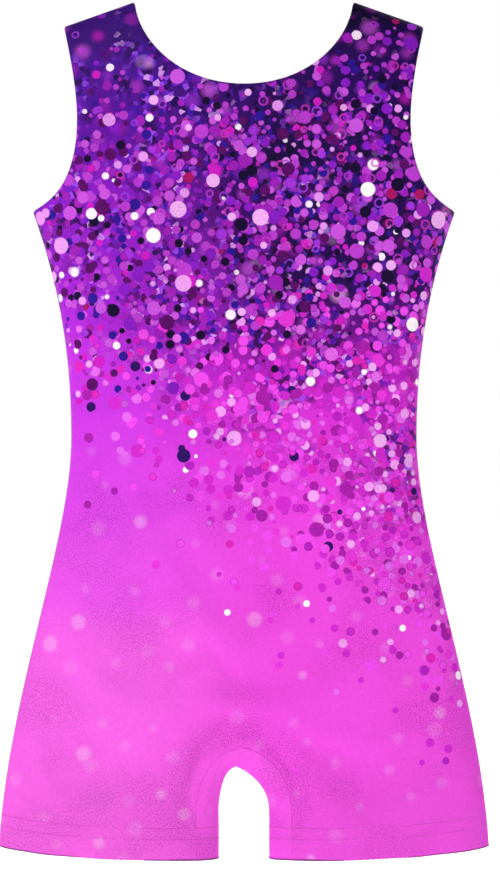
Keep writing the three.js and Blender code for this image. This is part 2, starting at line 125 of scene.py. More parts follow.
@dataclass(frozen=True)
class Bow:
    """A cubic curve in (x, z). Its handles are shares of the step from one end to the other."""

    start: tuple[float, float]
    end: tuple[float, float]
    lead: tuple[float, float]
    trail: tuple[float, float]

    def handles(self) -> Array:
        """The four control points."""
        start, end = np.array(self.start), np.array(self.end)
        step = end - start
        return np.array([start, start + step * self.lead, end - step * self.trail, end])

    def points(self, shares: Array) -> Array:
        """Places on the curve at shares from 0 to 1."""
        t = np.asarray(shares, float)[..., None]
        a, b, c, d = self.handles()
        return (1 - t) ** 3 * a + 3 * (1 - t) ** 2 * t * b + 3 * (1 - t) * t * t * c + t**3 * d

    def tangents(self, shares: Array) -> Array:
        """Unit directions along the curve at shares from 0 to 1."""
        t = np.clip(np.asarray(shares, float), 1e-4, 1 - 1e-4)[..., None]
        a, b, c, d = self.handles()
        return unit((1 - t) ** 2 * (b - a) + 2 * (1 - t) * t * (c - b) + t * t * (d - c))

    def read(self, known: int, values: Array) -> Array:
        """The other coordinate where one coordinate has the given values.

        Args:
            known: 0 where x is given, 1 where z is given.
            values: The given coordinate.

        Returns:
            The other coordinate at each of them.
        """
        table = self.points(np.linspace(0.0, 1.0, 900))
        if table[-1, known] < table[0, known]:
            table = table[::-1]
        return np.interp(values, table[:, known], table[:, 1 - known])


@dataclass
class Cut:
    """The garment's sizes, its outline and the surface that it fills."""

    body_length: float = 0.580
    chest_half: float = 0.143
    waist_half: float = 0.117
    waist_height: float = 0.285
    hem_half: float = 0.166
    hem_rise: float = 0.0085
    neck_half: float = 0.074
    strap_span: float = 0.048
    shoulder_drop: float = 0.017
    front_neck_depth: float = 0.058
    back_neck_depth: float = 0.084
    armhole_depth: float = 0.125
    armhole_scoop: float = 0.010
    armhole_scoop_drop: float = 0.065
    crotch_height: float = 0.062
    gap_half: float = 0.017
    arch_height: float = 0.030
    gusset_reach: float = 0.015
    chest_fill: float = 0.022
    leg_fill: float = 0.015
    side_roll: float = 0.056
    crotch_roll: float = 0.050
    shoulder_roll: float = 0.100
    arm_allowance: float = 0.012
    neck_turning: float = 0.011
    hem_depth: float = 0.025
    sway: float = -0.0055  # how far the crotch's point hangs to one side
    sway_reach: float = 0.017
    relief: Callable[[Array, Array, Array], Array] | None = None

    def __post_init__(self) -> None:
        """Draws the outline curves of the right half."""
        top = self.body_length
        self.strap_inner = (self.neck_half, top)
        self.strap_outer = (self.neck_half + self.strap_span, top - self.shoulder_drop)
        scoop = (self.strap_outer[0] - self.armhole_scoop, self.strap_outer[1] - self.armhole_scoop_drop)
        self.underarm = (self.chest_half, self.strap_outer[1] - self.armhole_depth)
        waist = (self.waist_half, self.waist_height)
        self.hem_outer = (self.hem_half, self.hem_rise)
        self.arch_foot = (self.gap_half, self.crotch_height - self.arch_height)
        self.front_neck = Bow(self.strap_inner, (0.0, top - self.front_neck_depth), (0.05, 0.55), (0.54, 0.0))
        self.back_neck = Bow(self.strap_inner, (0.0, top - self.back_neck_depth), (0.05, 0.55), (0.54, 0.0))
        self.armhole_top = Bow(self.strap_outer, scoop, (0.55, 0.34), (0.0, 0.26))
        self.armhole_foot = Bow(scoop, self.underarm, (0.0, 0.47), (0.74, 0.14))
        self.side_top = Bow(self.underarm, waist, (0.65, 0.31), (0.0, 0.39))
        self.side_foot = Bow(waist, self.hem_outer, (0.0, 0.25), (0.12, 0.37))
        self.hem_line = Bow((self.gap_half, 0.0), self.hem_outer, (0.5, 0.0), (0.2, 0.5))
        self.arch = Bow((0.0, self.crotch_height), self.arch_foot, (0.58, 0.13), (0.0, 0.47))
        self.along_shoulder = unit(np.subtract(self.strap_outer, self.strap_inner))
        self.side_arc = Arc(self.side_roll, self.chest_fill * 0.92)
        self.shoulder_arc = Arc(self.shoulder_roll, self.chest_fill)

    # ----- outline -----

    def side_half(self, z: Array) -> Array:
        """Half the width of the body at a height, carried on above the underarm."""
        z = np.asarray(z, float)
        slope = self.side_top.tangents(np.array([0.0]))[0]
        climb = np.maximum((z - self.underarm[1]) * slope[0] / slope[1], 0.0)
        above = self.underarm[0] + self.arm_allowance * (1 - np.exp(-climb / self.arm_allowance))
        upper = self.side_top.read(1, z)
        lower = np.where(z <= self.hem_rise, self.hem_half, self.side_foot.read(1, z))
        return np.where(z >= self.underarm[1], above, np.where(z >= self.waist_height, upper, lower))

    def shoulder_height(self, x: Array) -> Array:
        """Height of the shoulder fold: straight along each strap, one smooth cap over the neck."""
        slope = self.shoulder_drop / self.strap_span
        out = np.abs(x) - self.neck_half
        cap = self.body_length + slope * self.neck_half / 2 * (1 - (np.asarray(x) / self.neck_half) ** 2)
        return np.where(out >= 0, self.body_length - out * slope, cap)

    def hem_height(self, x: Array) -> Array:
        """Height of a leg's hem edge."""
        out = np.abs(x)
        inside = self.hem_line.read(0, np.clip(out, self.gap_half, self.hem_half))
        return np.where(out <= self.gap_half, 0.0, np.where(out >= self.hem_half, self.hem_rise, inside))

    def gap_side(self, z: Array) -> Array:
        """Half the space between the legs at a height under the crotch."""
        return np.where(np.asarray(z) <= self.arch_foot[1], self.gap_half, self.arch.read(1, z))

    def gap_distance(self, x: Array, z: Array) -> Array:
        """Distance from the edge of the space between the legs."""
        line = np.vstack([self.arch.points(np.linspace(0, 1, 21)), [self.gap_half, -self.hem_depth]])
        place = np.stack([np.abs(x), np.asarray(z, float) * np.ones_like(x)], -1)
        nearest = np.full(place.shape[:-1], FAR)
        for start, end in zip(line[:-1], line[1:]):
            along = end - start
            share = np.clip(((place - start) @ along) / (along @ along), 0.0, 1.0)
            nearest = np.minimum(nearest, np.linalg.norm(place - start - share[..., None] * along, axis=-1))
        return nearest

    # ----- filled surface -----

    @staticmethod
    def roll(distance: Array, radius: float) -> Array:
        """From 0 at an edge to 1 at one radius from it, along a quarter of an ellipse."""
        rest = 1.0 - np.clip(distance / radius, 0.0, 1.0)
        return np.sqrt(np.maximum(1.0 - rest * rest, 0.0))

    def half_depth(self, x: Array, z: Array, least_gap: float = 0.0) -> Array:
        """Half the depth of the filled body."""
        fill = self.leg_fill + (self.chest_fill - self.leg_fill) * smooth_step(z, self.crotch_height, self.waist_height)
        near = z < self.crotch_height + self.crotch_roll
        crotch = np.ones_like(fill)
        if np.any(near):
            gap = np.maximum(self.gap_distance(x[near], z[near]), least_gap)
            crotch[near] = self.roll(gap, self.crotch_roll)
        side = self.roll(self.side_half(z) - np.abs(x), self.side_roll)
        return fill * crotch * side * self.roll(self.shoulder_height(x) - z, self.shoulder_roll)

    def normal(self, x: Array, z: Array, face: Array, least_gap: float = 0.0) -> Array:
        """Outward unit normals of the filled surface."""
        read_x = np.minimum(np.abs(x), self.side_half(z) - NUDGE)
        read_z = np.minimum(z, self.shoulder_height(x) - NUDGE)
        on_gap = self.gap_distance(x, z) < NUDGE
        core = np.stack([np.zeros_like(x), np.minimum(z, self.arch_foot[1])], -1)
        away = unit(np.stack([read_x, read_z], -1) - core) * NUDGE
        read_x = np.where(on_gap, read_x + away[..., 0], read_x) * np.where(x < 0, -1.0, 1.0)
        read_z = np.where(on_gap, read_z + away[..., 1], read_z)
        half = NUDGE / 2
        slope_x = self.half_depth(read_x + half, read_z, least_gap) - self.half_depth(read_x - half, read_z, least_gap)
        slope_z = self.half_depth(read_x, read_z + half, least_gap) - self.half_depth(read_x, read_z - half, least_gap)
        return unit(np.stack([-slope_x / NUDGE, face * np.ones_like(x), -slope_z / NUDGE], -1))

    def skin(
        self, x: Array, z: Array, face: Array | float, sink: float = 0.0, least_gap: float = 0.0
    ) -> tuple[Array, Array]:
        """Points of the surface, sunk along the inward normal, with their normals.

        Args:
            x: Places across the body.
            z: Heights.
            face: -1 on the front, 1 on the back, 0 on the fold between them.
            sink: Depth under the outside of the cloth.
            least_gap: The least distance from the legs' gap that the depth is read at.

        Returns:
            The points and the outward normals.
        """
        x, z, face = np.broadcast_arrays(np.asarray(x, float), np.asarray(z, float), np.asarray(face, float))
        depth = np.where(face == 0, 0.0, self.half_depth(x, z, least_gap))
        normal = self.normal(x, z, face, least_gap)
        rise = self.relief(x, z, face) if self.relief else 0.0
        point = np.stack([x, face * depth, z], -1)
        point = point + normal * np.asarray(rise - sink)[..., None]
        point[..., 0] += self.sway * np.exp(-(x**2 + (z - self.crotch_height) ** 2) / self.sway_reach**2)
        return point, normal

    # ----- the flat pattern -----

    def unroll(self, x: Array, z: Array) -> Array:
        """Flat pattern places (u, v), measured along the cloth from the centre line and the hem."""
        edge = self.side_half(z) - np.abs(x)
        u = np.sign(x) * (np.abs(x) + self.side_arc.gain(edge))
        v = z + self.shoulder_arc.gain(self.shoulder_height(x) - z)
        return np.stack([u, v], -1)

    def fold(self, flat: Array) -> tuple[Array, Array]:
        """The (x, z) places of flat pattern places."""
        x, z = flat[:, 0].copy(), flat[:, 1].copy()
        for _ in range(8):
            half, top = self.side_half(z), self.shoulder_height(x)
            x = np.sign(flat[:, 0]) * (half - self.side_arc.flat_of(half + self.side_arc.most - np.abs(flat[:, 0])))
            z = top - self.shoulder_arc.flat_of(top + self.shoulder_arc.most - flat[:, 1])
        return x, z

    # ----- places near edges -----

    def neck_place(self, neck: Bow, shares: Array, depth: float) -> Array:
        """Places at a distance inside the neck edge, on the shoulder fold at the strap."""
        tangent = neck.tangents(shares)
        lean = np.stack([-tangent[:, 1], tangent[:, 0]], -1)
        blend = (1 - smooth_step(shares, 0.0, 0.3))[:, None]
        return neck.points(shares) + unit(lean * (1 - blend) + self.along_shoulder * blend) * depth

    def armhole_place(self, shares: Array, depth: float) -> Array:
        """Places at a distance inside the armhole edge; shares run from 0 at the strap to 2 at the underarm."""
        top, local = shares < 1, np.where(shares < 1, shares, shares - 1)
        place = np.where(top[:, None], self.armhole_top.points(local), self.armhole_foot.points(local))
        tangent = np.where(top[:, None], self.armhole_top.tangents(local), self.armhole_foot.tangents(local))
        lean = np.stack([tangent[:, 1], -tangent[:, 0]], -1)
        blend = np.where(top, 1 - smooth_step(shares, 0.0, 0.5), 0.0)[:, None]
        place = place + unit(lean * (1 - blend) - self.along_shoulder * blend) * depth
        place[:, 0] = np.minimum(place[:, 0], self.side_half(place[:, 1]))
        last = shares >= 2
        place[last] = [self.side_half(self.underarm[1] - depth), self.underarm[1] - depth]
        return place

    def arch_place(self, stations: Array, reach: Array | float, foot: float) -> Array:
        """Places at a distance from the edge between the legs.

        Args:
            stations: From 0 at the crotch to 1 at the foot of the arch and 2 at the hem; negative on the right leg.
            reach: Distance from the edge.
            foot: How far above the hem edge station 2 lies.

        Returns:
            The (x, z) places.
        """
        size = np.abs(stations)
        share, low = np.minimum(size, 1.0), np.maximum(size - 1.0, 0.0)
        tangent = self.arch.tangents(share)
        lean = np.stack([-tangent[..., 1], tangent[..., 0]], -1)
        lean = np.where((size < 1e-6)[..., None], [0.0, 1.0], np.where((size >= 1)[..., None], [1.0, 0.0], lean))
        place = self.arch.points(share) + lean * np.asarray(reach)[..., None]
        end = self.hem_height(place[..., 0]) + foot
        height = np.where(low > 0, self.arch_foot[1] + (end - self.arch_foot[1]) * low, place[..., 1])
        return np.stack([place[..., 0] * np.where(stations < 0, -1.0, 1.0), height], -1)


class Arc:
    """The length of a quarter of an ellipse, against its flat width."""

    def __init__(self, width: float, depth: float) -> None:
        """Measures the arc from the fold inwards.

        Args:
            width: Flat width of the quarter.
            depth: Its depth.
        """
        angle = np.linspace(0.0, math.pi / 2, 400)
        steps = np.hypot(np.diff(width * (1 - np.cos(angle))), np.diff(depth * np.sin(angle)))
        self.flat = width * (1 - np.cos(angle))
        self.extra = np.concatenate([[0.0], np.cumsum(steps)]) - self.flat
        self.most = float(self.extra[-1])

    def gain(self, edge: Array) -> Array:
        """How much longer the cloth is than its flat width, up to a distance from the fold."""
        return self.most - np.interp(edge, self.flat, self.extra)

    def flat_of(self, length: Array) -> Array:
        """The flat width of a length of cloth, measured from the fold."""
        inside = np.interp(length, self.flat + self.extra, self.flat)
        return np.where(length > self.flat[-1] + self.most, length - self.most, np.where(length < 0, length, inside))


# ---------------------------------------------------------------------------
# How the cloth lies: folds, puckers and soft waves
# ---------------------------------------------------------------------------


@dataclass(frozen=True)
class Crease:
    """One soft fold in the cloth, along a line of places."""

    face: Face
    line: tuple[tuple[float, float], ...]
    height: float
    width: float

    def rise(self, x: Array, z: Array, face: Array) -> Array:
        """How far the fold lifts the cloth at each place, sinking towards its ends."""
        spine = np.array(self.line)
        place = np.stack([x, z], -1)
        count = len(spine) - 1
        nearest, along = np.full(x.shape, FAR), np.zeros(x.shape)
        for i, (start, end) in enumerate(zip(spine[:-1], spine[1:])):
            step = end - start
            share = np.clip(((place - start) @ step) / (step @ step), 0.0, 1.0)
            far = np.linalg.norm(place - start - share[..., None] * step, axis=-1)
            along = np.where(far < nearest, (i + share) / count, along)
            nearest = np.minimum(nearest, far)
        ends = np.sin(math.pi * np.clip(along, 0.02, 0.98)) ** 0.6
        return self.height * ends * np.exp(-((nearest / self.width) ** 2)) * (face == self.face.value)


@dataclass
class Lie:
    """Everything that keeps the cloth from lying dead smooth."""

    cut: Cut
    creases: tuple[Crease, ...] = (
        Crease(
            Face.FRONT, ((-0.027, 0.020), (-0.024, 0.044), (-0.016, 0.066), (-0.002, 0.080), (0.014, 0.086)),
            0.0034, 0.0055,
        ),
        Crease(
            Face.FRONT, ((-0.040, 0.022), (-0.037, 0.046), (-0.027, 0.076), (-0.010, 0.094), (0.006, 0.099)),
            -0.0046, 0.0065,
        ),
        Crease(Face.FRONT, ((-0.075, 0.050), (-0.065, 0.090), (-0.044, 0.122), (-0.018, 0.140)), 0.0018, 0.0100),
        Crease(Face.FRONT, ((0.010, 0.088), (0.022, 0.074), (0.032, 0.058), (0.036, 0.040)), -0.0040, 0.0055),
        Crease(Face.FRONT, ((0.020, 0.034), (0.034, 0.048), (0.041, 0.062)), 0.0018, 0.0045),
        Crease(Face.FRONT, ((0.040, 0.028), (0.056, 0.056), (0.078, 0.080)), 0.0010, 0.0090),
        Crease(Face.BACK, ((-0.020, 0.058), (-0.046, 0.078), (-0.070, 0.112)), -0.0016, 0.0090),
        Crease(Face.BACK, ((0.020, 0.060), (0.040, 0.082), (0.072, 0.104)), -0.0018, 0.0080),
        Crease(Face.BACK, ((-0.030, 0.105), (0.0, 0.092), (0.034, 0.112)), 0.0014, 0.0100),
        Crease(Face.BACK, ((-0.100, 0.300), (-0.040, 0.282), (0.050, 0.290), (0.100, 0.304)), 0.0012, 0.0120),
        Crease(Face.FRONT, ((0.128, 0.440), (0.100, 0.428), (0.070, 0.434)), 0.0008, 0.0100),
        Crease(Face.FRONT, ((-0.128, 0.436), (-0.104, 0.420), (-0.072, 0.418)), 0.0008, 0.0110),
        Crease(Face.BACK, ((0.126, 0.436), (0.094, 0.416), (0.060, 0.412)), 0.0010, 0.0110),
        Crease(Face.BACK, ((-0.126, 0.440), (-0.090, 0.424), (-0.058, 0.424)), 0.0010, 0.0110),
    )
    wave: float = 0.00055
    pucker: float = 0.00022
    pucker_step: float = 0.0085
    hem_wave: float = 0.0007

    def rise(self, x: Array, z: Array, face: Array) -> Array:
        """How far the cloth stands off its even filled shape, outwards.

        Args:
            x: Places across the body.
            z: Heights.
            face: -1 on the front, 1 on the back, 0 on the fold.

        Returns:
            The rise at each place, 0 on the folds and seams that front and back share.
        """
        side = self.cut.side_half(z) - np.abs(x)
        shoulder = self.cut.shoulder_height(x) - z
        gap = self.cut.gap_distance(x, z)
        total = sum(crease.rise(x, z, face) for crease in self.creases)
        phase = np.where(face < 0, 0.0, 2.1)
        total = total + self.wave * (
            np.sin(x * 47 + z * 23 + phase) * np.sin(z * 31 - x * 17 + 1.3 * phase)
            + 0.6 * np.sin(x * 83 - z * 61 + 2.0 + phase) * np.sin(z * 37 + 0.7)
        )
        hem = np.exp(-np.maximum(z - self.cut.hem_height(x), 0.0) / 0.030)
        total = total + self.hem_wave * hem * np.sin(x * 128 + phase * 1.7 + 1.1 * np.sin(x * 51))
        ripple = np.sin(z * 2 * math.pi / self.pucker_step + 1.9 * np.sin(z * 60 + phase))
        total = total + self.pucker * ripple * np.exp(-((side - 0.007) / 0.006) ** 2)
        calm = smooth_step(side, 0.0, 0.016) * smooth_step(shoulder, 0.0, 0.016) * smooth_step(gap, 0.001, 0.012)
        return total * calm * (face != 0)


# ---------------------------------------------------------------------------
# Mesh tools
# ---------------------------------------------------------------------------


def add_object(name: str, data: bpy.types.ID) -> Piece:
    """A new object in the scene."""
    made = bpy.data.objects.new(name, data)
    bpy.context.scene.collection.objects.link(made)
    return made


def make_object(name: str, points: Array, faces: Sequence[Sequence[int]], flat: Array | None = None) -> Piece:
    """A mesh object at the origin, smooth, with its flat pattern as the UV map "cut".

    Args:
        name: The piece's name.
        points: Its vertices.
        faces: Its faces.
        flat: The flat pattern place of each vertex, in metres.

    Returns:
        The object, in the scene.
    """
    mesh = bpy.data.meshes.new(name)
    mesh.from_pydata([tuple(map(float, p)) for p in points], [], [tuple(map(int, f)) for f in faces])
    if flat is not None:
        layer = mesh.uv_layers.new(name="cut")
        loops = np.zeros(len(mesh.loops), np.int32)
        mesh.loops.foreach_get("vertex_index", loops)
        layer.data.foreach_set("uv", np.asarray(flat, np.float32)[loops].ravel())
    mesh.polygons.foreach_set("use_smooth", [True] * len(mesh.polygons))
    mesh.update()
    return add_object(name, mesh)


def choose(*objects: Piece) -> None:
    """Selects only these objects and makes the first of them active."""
    bpy.ops.object.select_all(action="DESELECT")
    for one in objects:
        one.select_set(True)
    bpy.context.view_layer.objects.active = objects[0]


def apply_modifiers(made: Piece) -> None:
    """Applies every modifier on a piece, in order."""
    choose(made)
    for modifier in list(made.modifiers):
        bpy.ops.object.modifier_apply(modifier=modifier.name)


def dress(piece: Piece, *finishes: Material) -> None:
    """Gives a piece its finish, or the finishes of its right side and its wrong side."""
    piece.data.materials.clear()
    for finish in finishes:
        piece.data.materials.append(finish)


def thicken(made: Piece, thick: float, *finishes: Material) -> None:
    """Gives a sheet its finishes and its thickness, inwards from the side its faces point to.

    Args:
        made: The sheet.
        thick: Its thickness.
        finishes: The finish of its right side, and of its wrong side where that differs.
    """
    dress(made, *finishes)
    wall = made.modifiers.new("cloth", "SOLIDIFY")
    wall.thickness, wall.offset, wall.use_even_offset = thick, -1.0, False
    wall.material_offset = len(finishes) - 1
    apply_modifiers(made)
    bpy.ops.object.shade_smooth_by_angle(angle=math.radians(50))


@dataclass
class Patch:
    """A piece of cloth with a rolled rim: its flat part, and how each place of its edge turns in.

    The loop runs anticlockwise as seen from outside the garment.
    """

    points: Array
    normals: Array
    flat: Array
    faces: list[Sequence[int]]
    loop: Array
    radius: Array
    turn: Array
    tail: Array
    rows: int = 6

    def rimmed(self) -> tuple[Array, list[Sequence[int]], Array]:
        """Adds the rolled rim.

        Returns:
            The points, faces and flat pattern places of the whole piece.
        """
        loop = self.loop
        edge, normal, flat = self.points[loop], self.normals[loop], self.flat[loop]
        ahead, behind = np.roll(edge, -1, 0), np.roll(edge, 1, 0)
        out = unit(np.cross(unit(unit(ahead - edge) + unit(edge - behind)), normal))
        step = unit(np.roll(flat, -1, 0) - np.roll(flat, 1, 0))
        turned = np.sign(self._area(flat))
        flat_out = np.stack([step[:, 1], -step[:, 0]], -1) * turned
        points, flats, faces = [self.points], [self.flat], list(self.faces)
        count, last = len(loop), loop
        radius = self.radius[:, None]
        for row in range(1, self.rows + 2):
            angle = (self.turn * min(row / self.rows, 1.0))[:, None]
            place = edge + out * radius * np.sin(angle) - normal * radius * (1 - np.cos(angle))
            length = radius * angle
            if row > self.rows:
                place = place + (out * np.cos(angle) - normal * np.sin(angle)) * self.tail[:, None]
                length = length + self.tail[:, None]
            base = sum(len(p) for p in points)
            points.append(place)
            flats.append(flat + flat_out * length)
            ring = np.arange(base, base + count)
            for i in range(count):
                j = (i + 1) % count
                faces.append((last[j], last[i], ring[i], ring[j]))
            last = ring
        return np.vstack(points), faces, np.vstack(flats)

    @staticmethod
    def _area(flat: Array) -> float:
        """Signed area of a closed outline."""
        ahead = np.roll(flat, -1, 0)
        return float((flat[:, 0] * ahead[:, 1] - flat[:, 1] * ahead[:, 0]).sum() / 2)


def respaced(line: Array, step: float, closed: bool = False) -> Array:
    """A line of points again with even steps.

    Args:
        line: The points, (n, k) for any k, or (n, m, k) for m lines side by side.
        step: About how far apart the new points are.
        closed: Whether the line runs round to its start.

    Returns:
        The new points; a closed line's first point isn't repeated.
    """
    if closed:
        line = np.concatenate([line, line[:1]])
    middle = line if line.ndim == 2 else line.mean(1)
    far = run_length(middle)
    count = max(int(round(far[-1] / step)), 2)
    wanted = np.linspace(0.0, far[-1], count + 1)
    spread = line.reshape(len(line), -1)
    made = np.stack([np.interp(wanted, far, spread[:, i]) for i in range(spread.shape[1])], -1)
    made = made.reshape((count + 1,) + line.shape[1:])
    return made[:-1] if closed else made


def even_rows(points: Array, normals: Array, step: float) -> tuple[Array, Array]:
    """Closed rows of points, (stations, across, 3), and their normals again with even steps."""
    both = respaced(np.concatenate([points, normals], 1), step, closed=True)
    return both[:, : points.shape[1]], unit(both[:, points.shape[1] :])


def looks(points: Array, face: Sequence[int], way: Array) -> bool:
    """Whether a face with four corners looks the given way."""
    corner = points[list(face)]
    return bool(np.dot(np.cross(corner[1] - corner[0], corner[3] - corner[0]), way) >= 0)


def grid_faces(count: int, across: int, closed: bool = False) -> list[tuple[int, ...]]:
    """The faces of a strip with so many stations and so many points across."""
    stations = range(count if closed else count - 1)
    starts = [(i * across + j, (i + 1) % count * across + j) for i in stations for j in range(across - 1)]
    return [(a, b, b + 1, a + 1) for a, b in starts]


def strip(name: str, rows: Array, flat: Array, closed: bool, outward: Array) -> Piece:
    """A strip of cloth through rows of points.

    Args:
        name: The piece's name.
        rows: The points, (stations, across, 3).
        flat: Their flat pattern places, (stations, across, 2).
        closed: Whether the last station joins the first.
        outward: The way the strip's right side faces at its first station.

    Returns:
        The strip, one face thick.
    """
    faces = grid_faces(*rows.shape[:2], closed)
    rows, flat = rows.reshape(-1, 3), flat.reshape(-1, 2)
    if not looks(rows, faces[0], outward):
        faces = [f[::-1] for f in faces]
    return make_object(name, rows, faces, flat)


def threads(name: str, paths: Sequence[Array], radius: float, sides: int = 0) -> Piece:
    """Sewn thread along open paths, as one mesh.

    Args:
        name: The piece's name.
        paths: The points of each length of thread.
        radius: Half the thread's thickness.
        sides: Roundness of its section, 0 for four sides.

    Returns:
        The thread.
    """
    curve = bpy.data.curves.new(name, "CURVE")
    curve.dimensions, curve.bevel_depth, curve.bevel_resolution = "3D", radius, sides
    curve.use_fill_caps = True
    for path in paths:
        spline = curve.splines.new("POLY")
        spline.points.add(len(path) - 1)
        spline.points.foreach_set("co", np.c_[path, np.ones(len(path))].astype(np.float32).ravel())
    choose(add_object(name, curve))
    bpy.ops.object.convert(target="MESH")
    made = bpy.context.object
    bpy.ops.object.shade_smooth_by_angle(angle=math.radians(65))
    return made


# ---------------------------------------------------------------------------
# Finishes
# ---------------------------------------------------------------------------


def tint(code: str) -> tuple[float, float, float, float]:
    """A screen colour such as "f25fe2" as a linear colour."""
    parts = [int(code[i : i + 2], 16) / 255 for i in (0, 2, 4)]
    return (*(p / 12.92 if p <= 0.04045 else ((p + 0.055) / 1.055) ** 2.4 for p in parts), 1.0)


class Dye:
    """A material whose nodes are being laid out."""

    def __init__(self, name: str) -> None:
        """Starts a material with one cloth-like shader.

        Args:
            name: The material's name.
        """
        self.material = bpy.data.materials.new(name)
        self.material.use_nodes = True
        self.tree = self.material.node_tree
        self.shader = self.tree.nodes["Principled BSDF"]

    def node(self, kind: str, inputs: dict[str | int, object] | None = None, **settings: object) -> bpy.types.Node:
        """Adds a node.

        Args:
            kind: Its type.
            inputs: Values or sockets for its inputs, by name or number.
            settings: Its other settings.

        Returns:
            The node.
        """
        made = self.tree.nodes.new(kind)
        for key, value in settings.items():
            setattr(made, key, value)
        for key, value in (inputs or {}).items():
            if isinstance(value, Socket):
                self.tree.links.new(value, made.inputs[key])
            else:
                made.inputs[key].default_value = value
        return made

    def flat(self) -> Socket:
        """The place on the cloth's flat pattern, in metres."""
        return self.node("ShaderNodeUVMap", uv_map="cut").outputs[0]

    def space(self) -> Socket:
        """The place in the object, in metres."""
        return self.node("ShaderNodeTexCoord").outputs["Object"]

    def axes(self, place: object) -> Sequence[Socket]:
        """The x, y and z of a place."""
        return self.node("ShaderNodeSeparateXYZ", {0: place}).outputs

    def math(self, operation: str, *values: object) -> Socket:
        """One step of arithmetic."""
        return self.node("ShaderNodeMath", dict(enumerate(values)), operation=operation).outputs[0]

    def measure(self, operation: str, place: object, other: object) -> Socket:
        """One number from two places, such as their distance."""
        return self.node("ShaderNodeVectorMath", {0: place, 1: other}, operation=operation).outputs["Value"]

    def wave(self, value: object, length: float) -> Socket:
        """A sine wave of the given length."""
        return self.math("SINE", self.math("MULTIPLY", value, 2 * math.pi / length))

    def ribs(self, value: object, width: float) -> Socket:
        """Round ribs side by side, each of the given width."""
        return self.math("ABSOLUTE", self.math("SINE", self.math("MULTIPLY", value, math.pi / width)))

    def cells(self, place: object, size: float, shuffle: float) -> tuple[Sequence[object], Sequence[object]]:
        """Scattered cells: the outputs of their node, and three chances from 0 to 1 for each cell."""
        inputs = {"Vector": place, "Scale": 1 / size, "Randomness": shuffle}
        made = self.node("ShaderNodeTexVoronoi", inputs, voronoi_dimensions="2D").outputs
        return made, self.node("ShaderNodeSeparateColor", {0: made["Color"]}).outputs

    def scaled(
        self, value: object, low: float, high: float, to_low: float = 0.0, to_high: float = 1.0, soft: bool = True
    ) -> Socket:
        """A value carried from one range to another and held there, with soft ends if asked."""
        kind = "SMOOTHSTEP" if soft else "LINEAR"
        inputs = {"Value": value, "From Min": low, "From Max": high, "To Min": to_low, "To Max": to_high}
        return self.node("ShaderNodeMapRange", inputs, interpolation_type=kind, clamp=True).outputs[0]

    def mix(self, share: object, under: object, over: object, blend: str = "MIX") -> Socket:
        """Two colours mixed."""
        return self.node("ShaderNodeMix", {0: share, 6: under, 7: over}, data_type="RGBA", blend_type=blend).outputs[2]

    def ramp(self, value: object, stops: Sequence[tuple[float, str]], steps: bool = False) -> Socket:
        """A colour read off a scale of colours.

        Args:
            value: Where to read it, from 0 to 1.
            stops: The places and colours of the scale.
            steps: Whether it changes in steps.

        Returns:
            The colour.
        """
        made = self.node("ShaderNodeValToRGB", {0: value})
        scale = made.color_ramp
        scale.interpolation = "CONSTANT" if steps else "EASE"
        for i, (place, code) in enumerate(stops):
            stop = scale.elements[i] if i < 2 else scale.elements.new(place)
            stop.position, stop.color = place, tint(code)
        return made.outputs[0]

    def noise(self, place: object, scale: float, detail: float = 2.0) -> Socket:
        """Even noise round 0.5."""
        return self.node("ShaderNodeTexNoise", {"Vector": place, "Scale": scale, "Detail": detail}).outputs[0]

    def uneven(self, place: object, scale: float, low: float, high: float, detail: float = 2.0) -> Socket:
        """A value that wanders between two limits."""
        return self.scaled(self.noise(place, scale, detail), 0.3, 0.7, low, high)

    def bump(self, height: object, distance: float) -> None:
        """Gives the surface a fine relief."""
        made = self.node("ShaderNodeBump", {"Height": height, "Distance": distance, "Strength": 1.0})
        self.tree.links.new(made.outputs[0], self.shader.inputs["Normal"])

    def surface(self, colour: object, roughness: object, **fixed: object) -> Material:
        """Connects the colour and roughness, and sets what is the same all over.

        Args:
            colour: The base colour.
            roughness: The roughness.
            fixed: Other shader inputs, with _ for a space.

        Returns:
            The material.
        """
        for key, value in (("Base Color", colour), ("Roughness", roughness)):
            if isinstance(value, Socket):
                self.tree.links.new(value, self.shader.inputs[key])
            else:
                self.shader.inputs[key].default_value = value
        for key, value in fixed.items():
            self.shader.inputs[key.replace("_", " ")].default_value = value
        return self.material


UPPER_DISCS = (
    (0.0, "9c1cb4"), (0.16, "b63aca"), (0.34, "c650d8"), (0.47, "e492ee"), (0.515, "fbe6fb"), (0.53, "560460"),
    (0.64, "12022e"), (0.75, "2c0f90"), (0.81, "8618c0"), (0.89, "a81060"), (0.895, "a030d6"), (0.955, "cc18c0"),
)
LOWER_DISCS = (
    (0.0, "ee48ea"), (0.22, "d026cc"), (0.44, "e468ea"), (0.58, "f4a0f4"), (0.66, "fff4ff"), (0.67, "a81aa8"),
    (0.79, "b41cbc"), (0.822, "2c0a60"), (0.838, "dc22b8"), (0.92, "e634d8"),
)
PALE_DISCS = ((0.0, "f4b0f4"), (0.44, "eea0ee"), (0.74, "fffdfa"))
SHARDS = ((0.0, "1a0440"), (0.30, "3a12a0"), (0.50, "6a1cc0"), (0.66, "240650"), (0.80, "9a48e8"), (0.92, "e09af4"))


@dataclass(frozen=True)
class Discs:
    """One scatter of printed discs. Sizes are in metres and reach is along the print's slope."""

    cell: float
    small: float
    large: float
    share: float
    reach: tuple[float, float, float, float]
    soft: float = 0.0003
    strength: float = 1.0
    turn: float = 0.0
    rim: float = 0.0
    pale: bool = False
    ring: bool = False


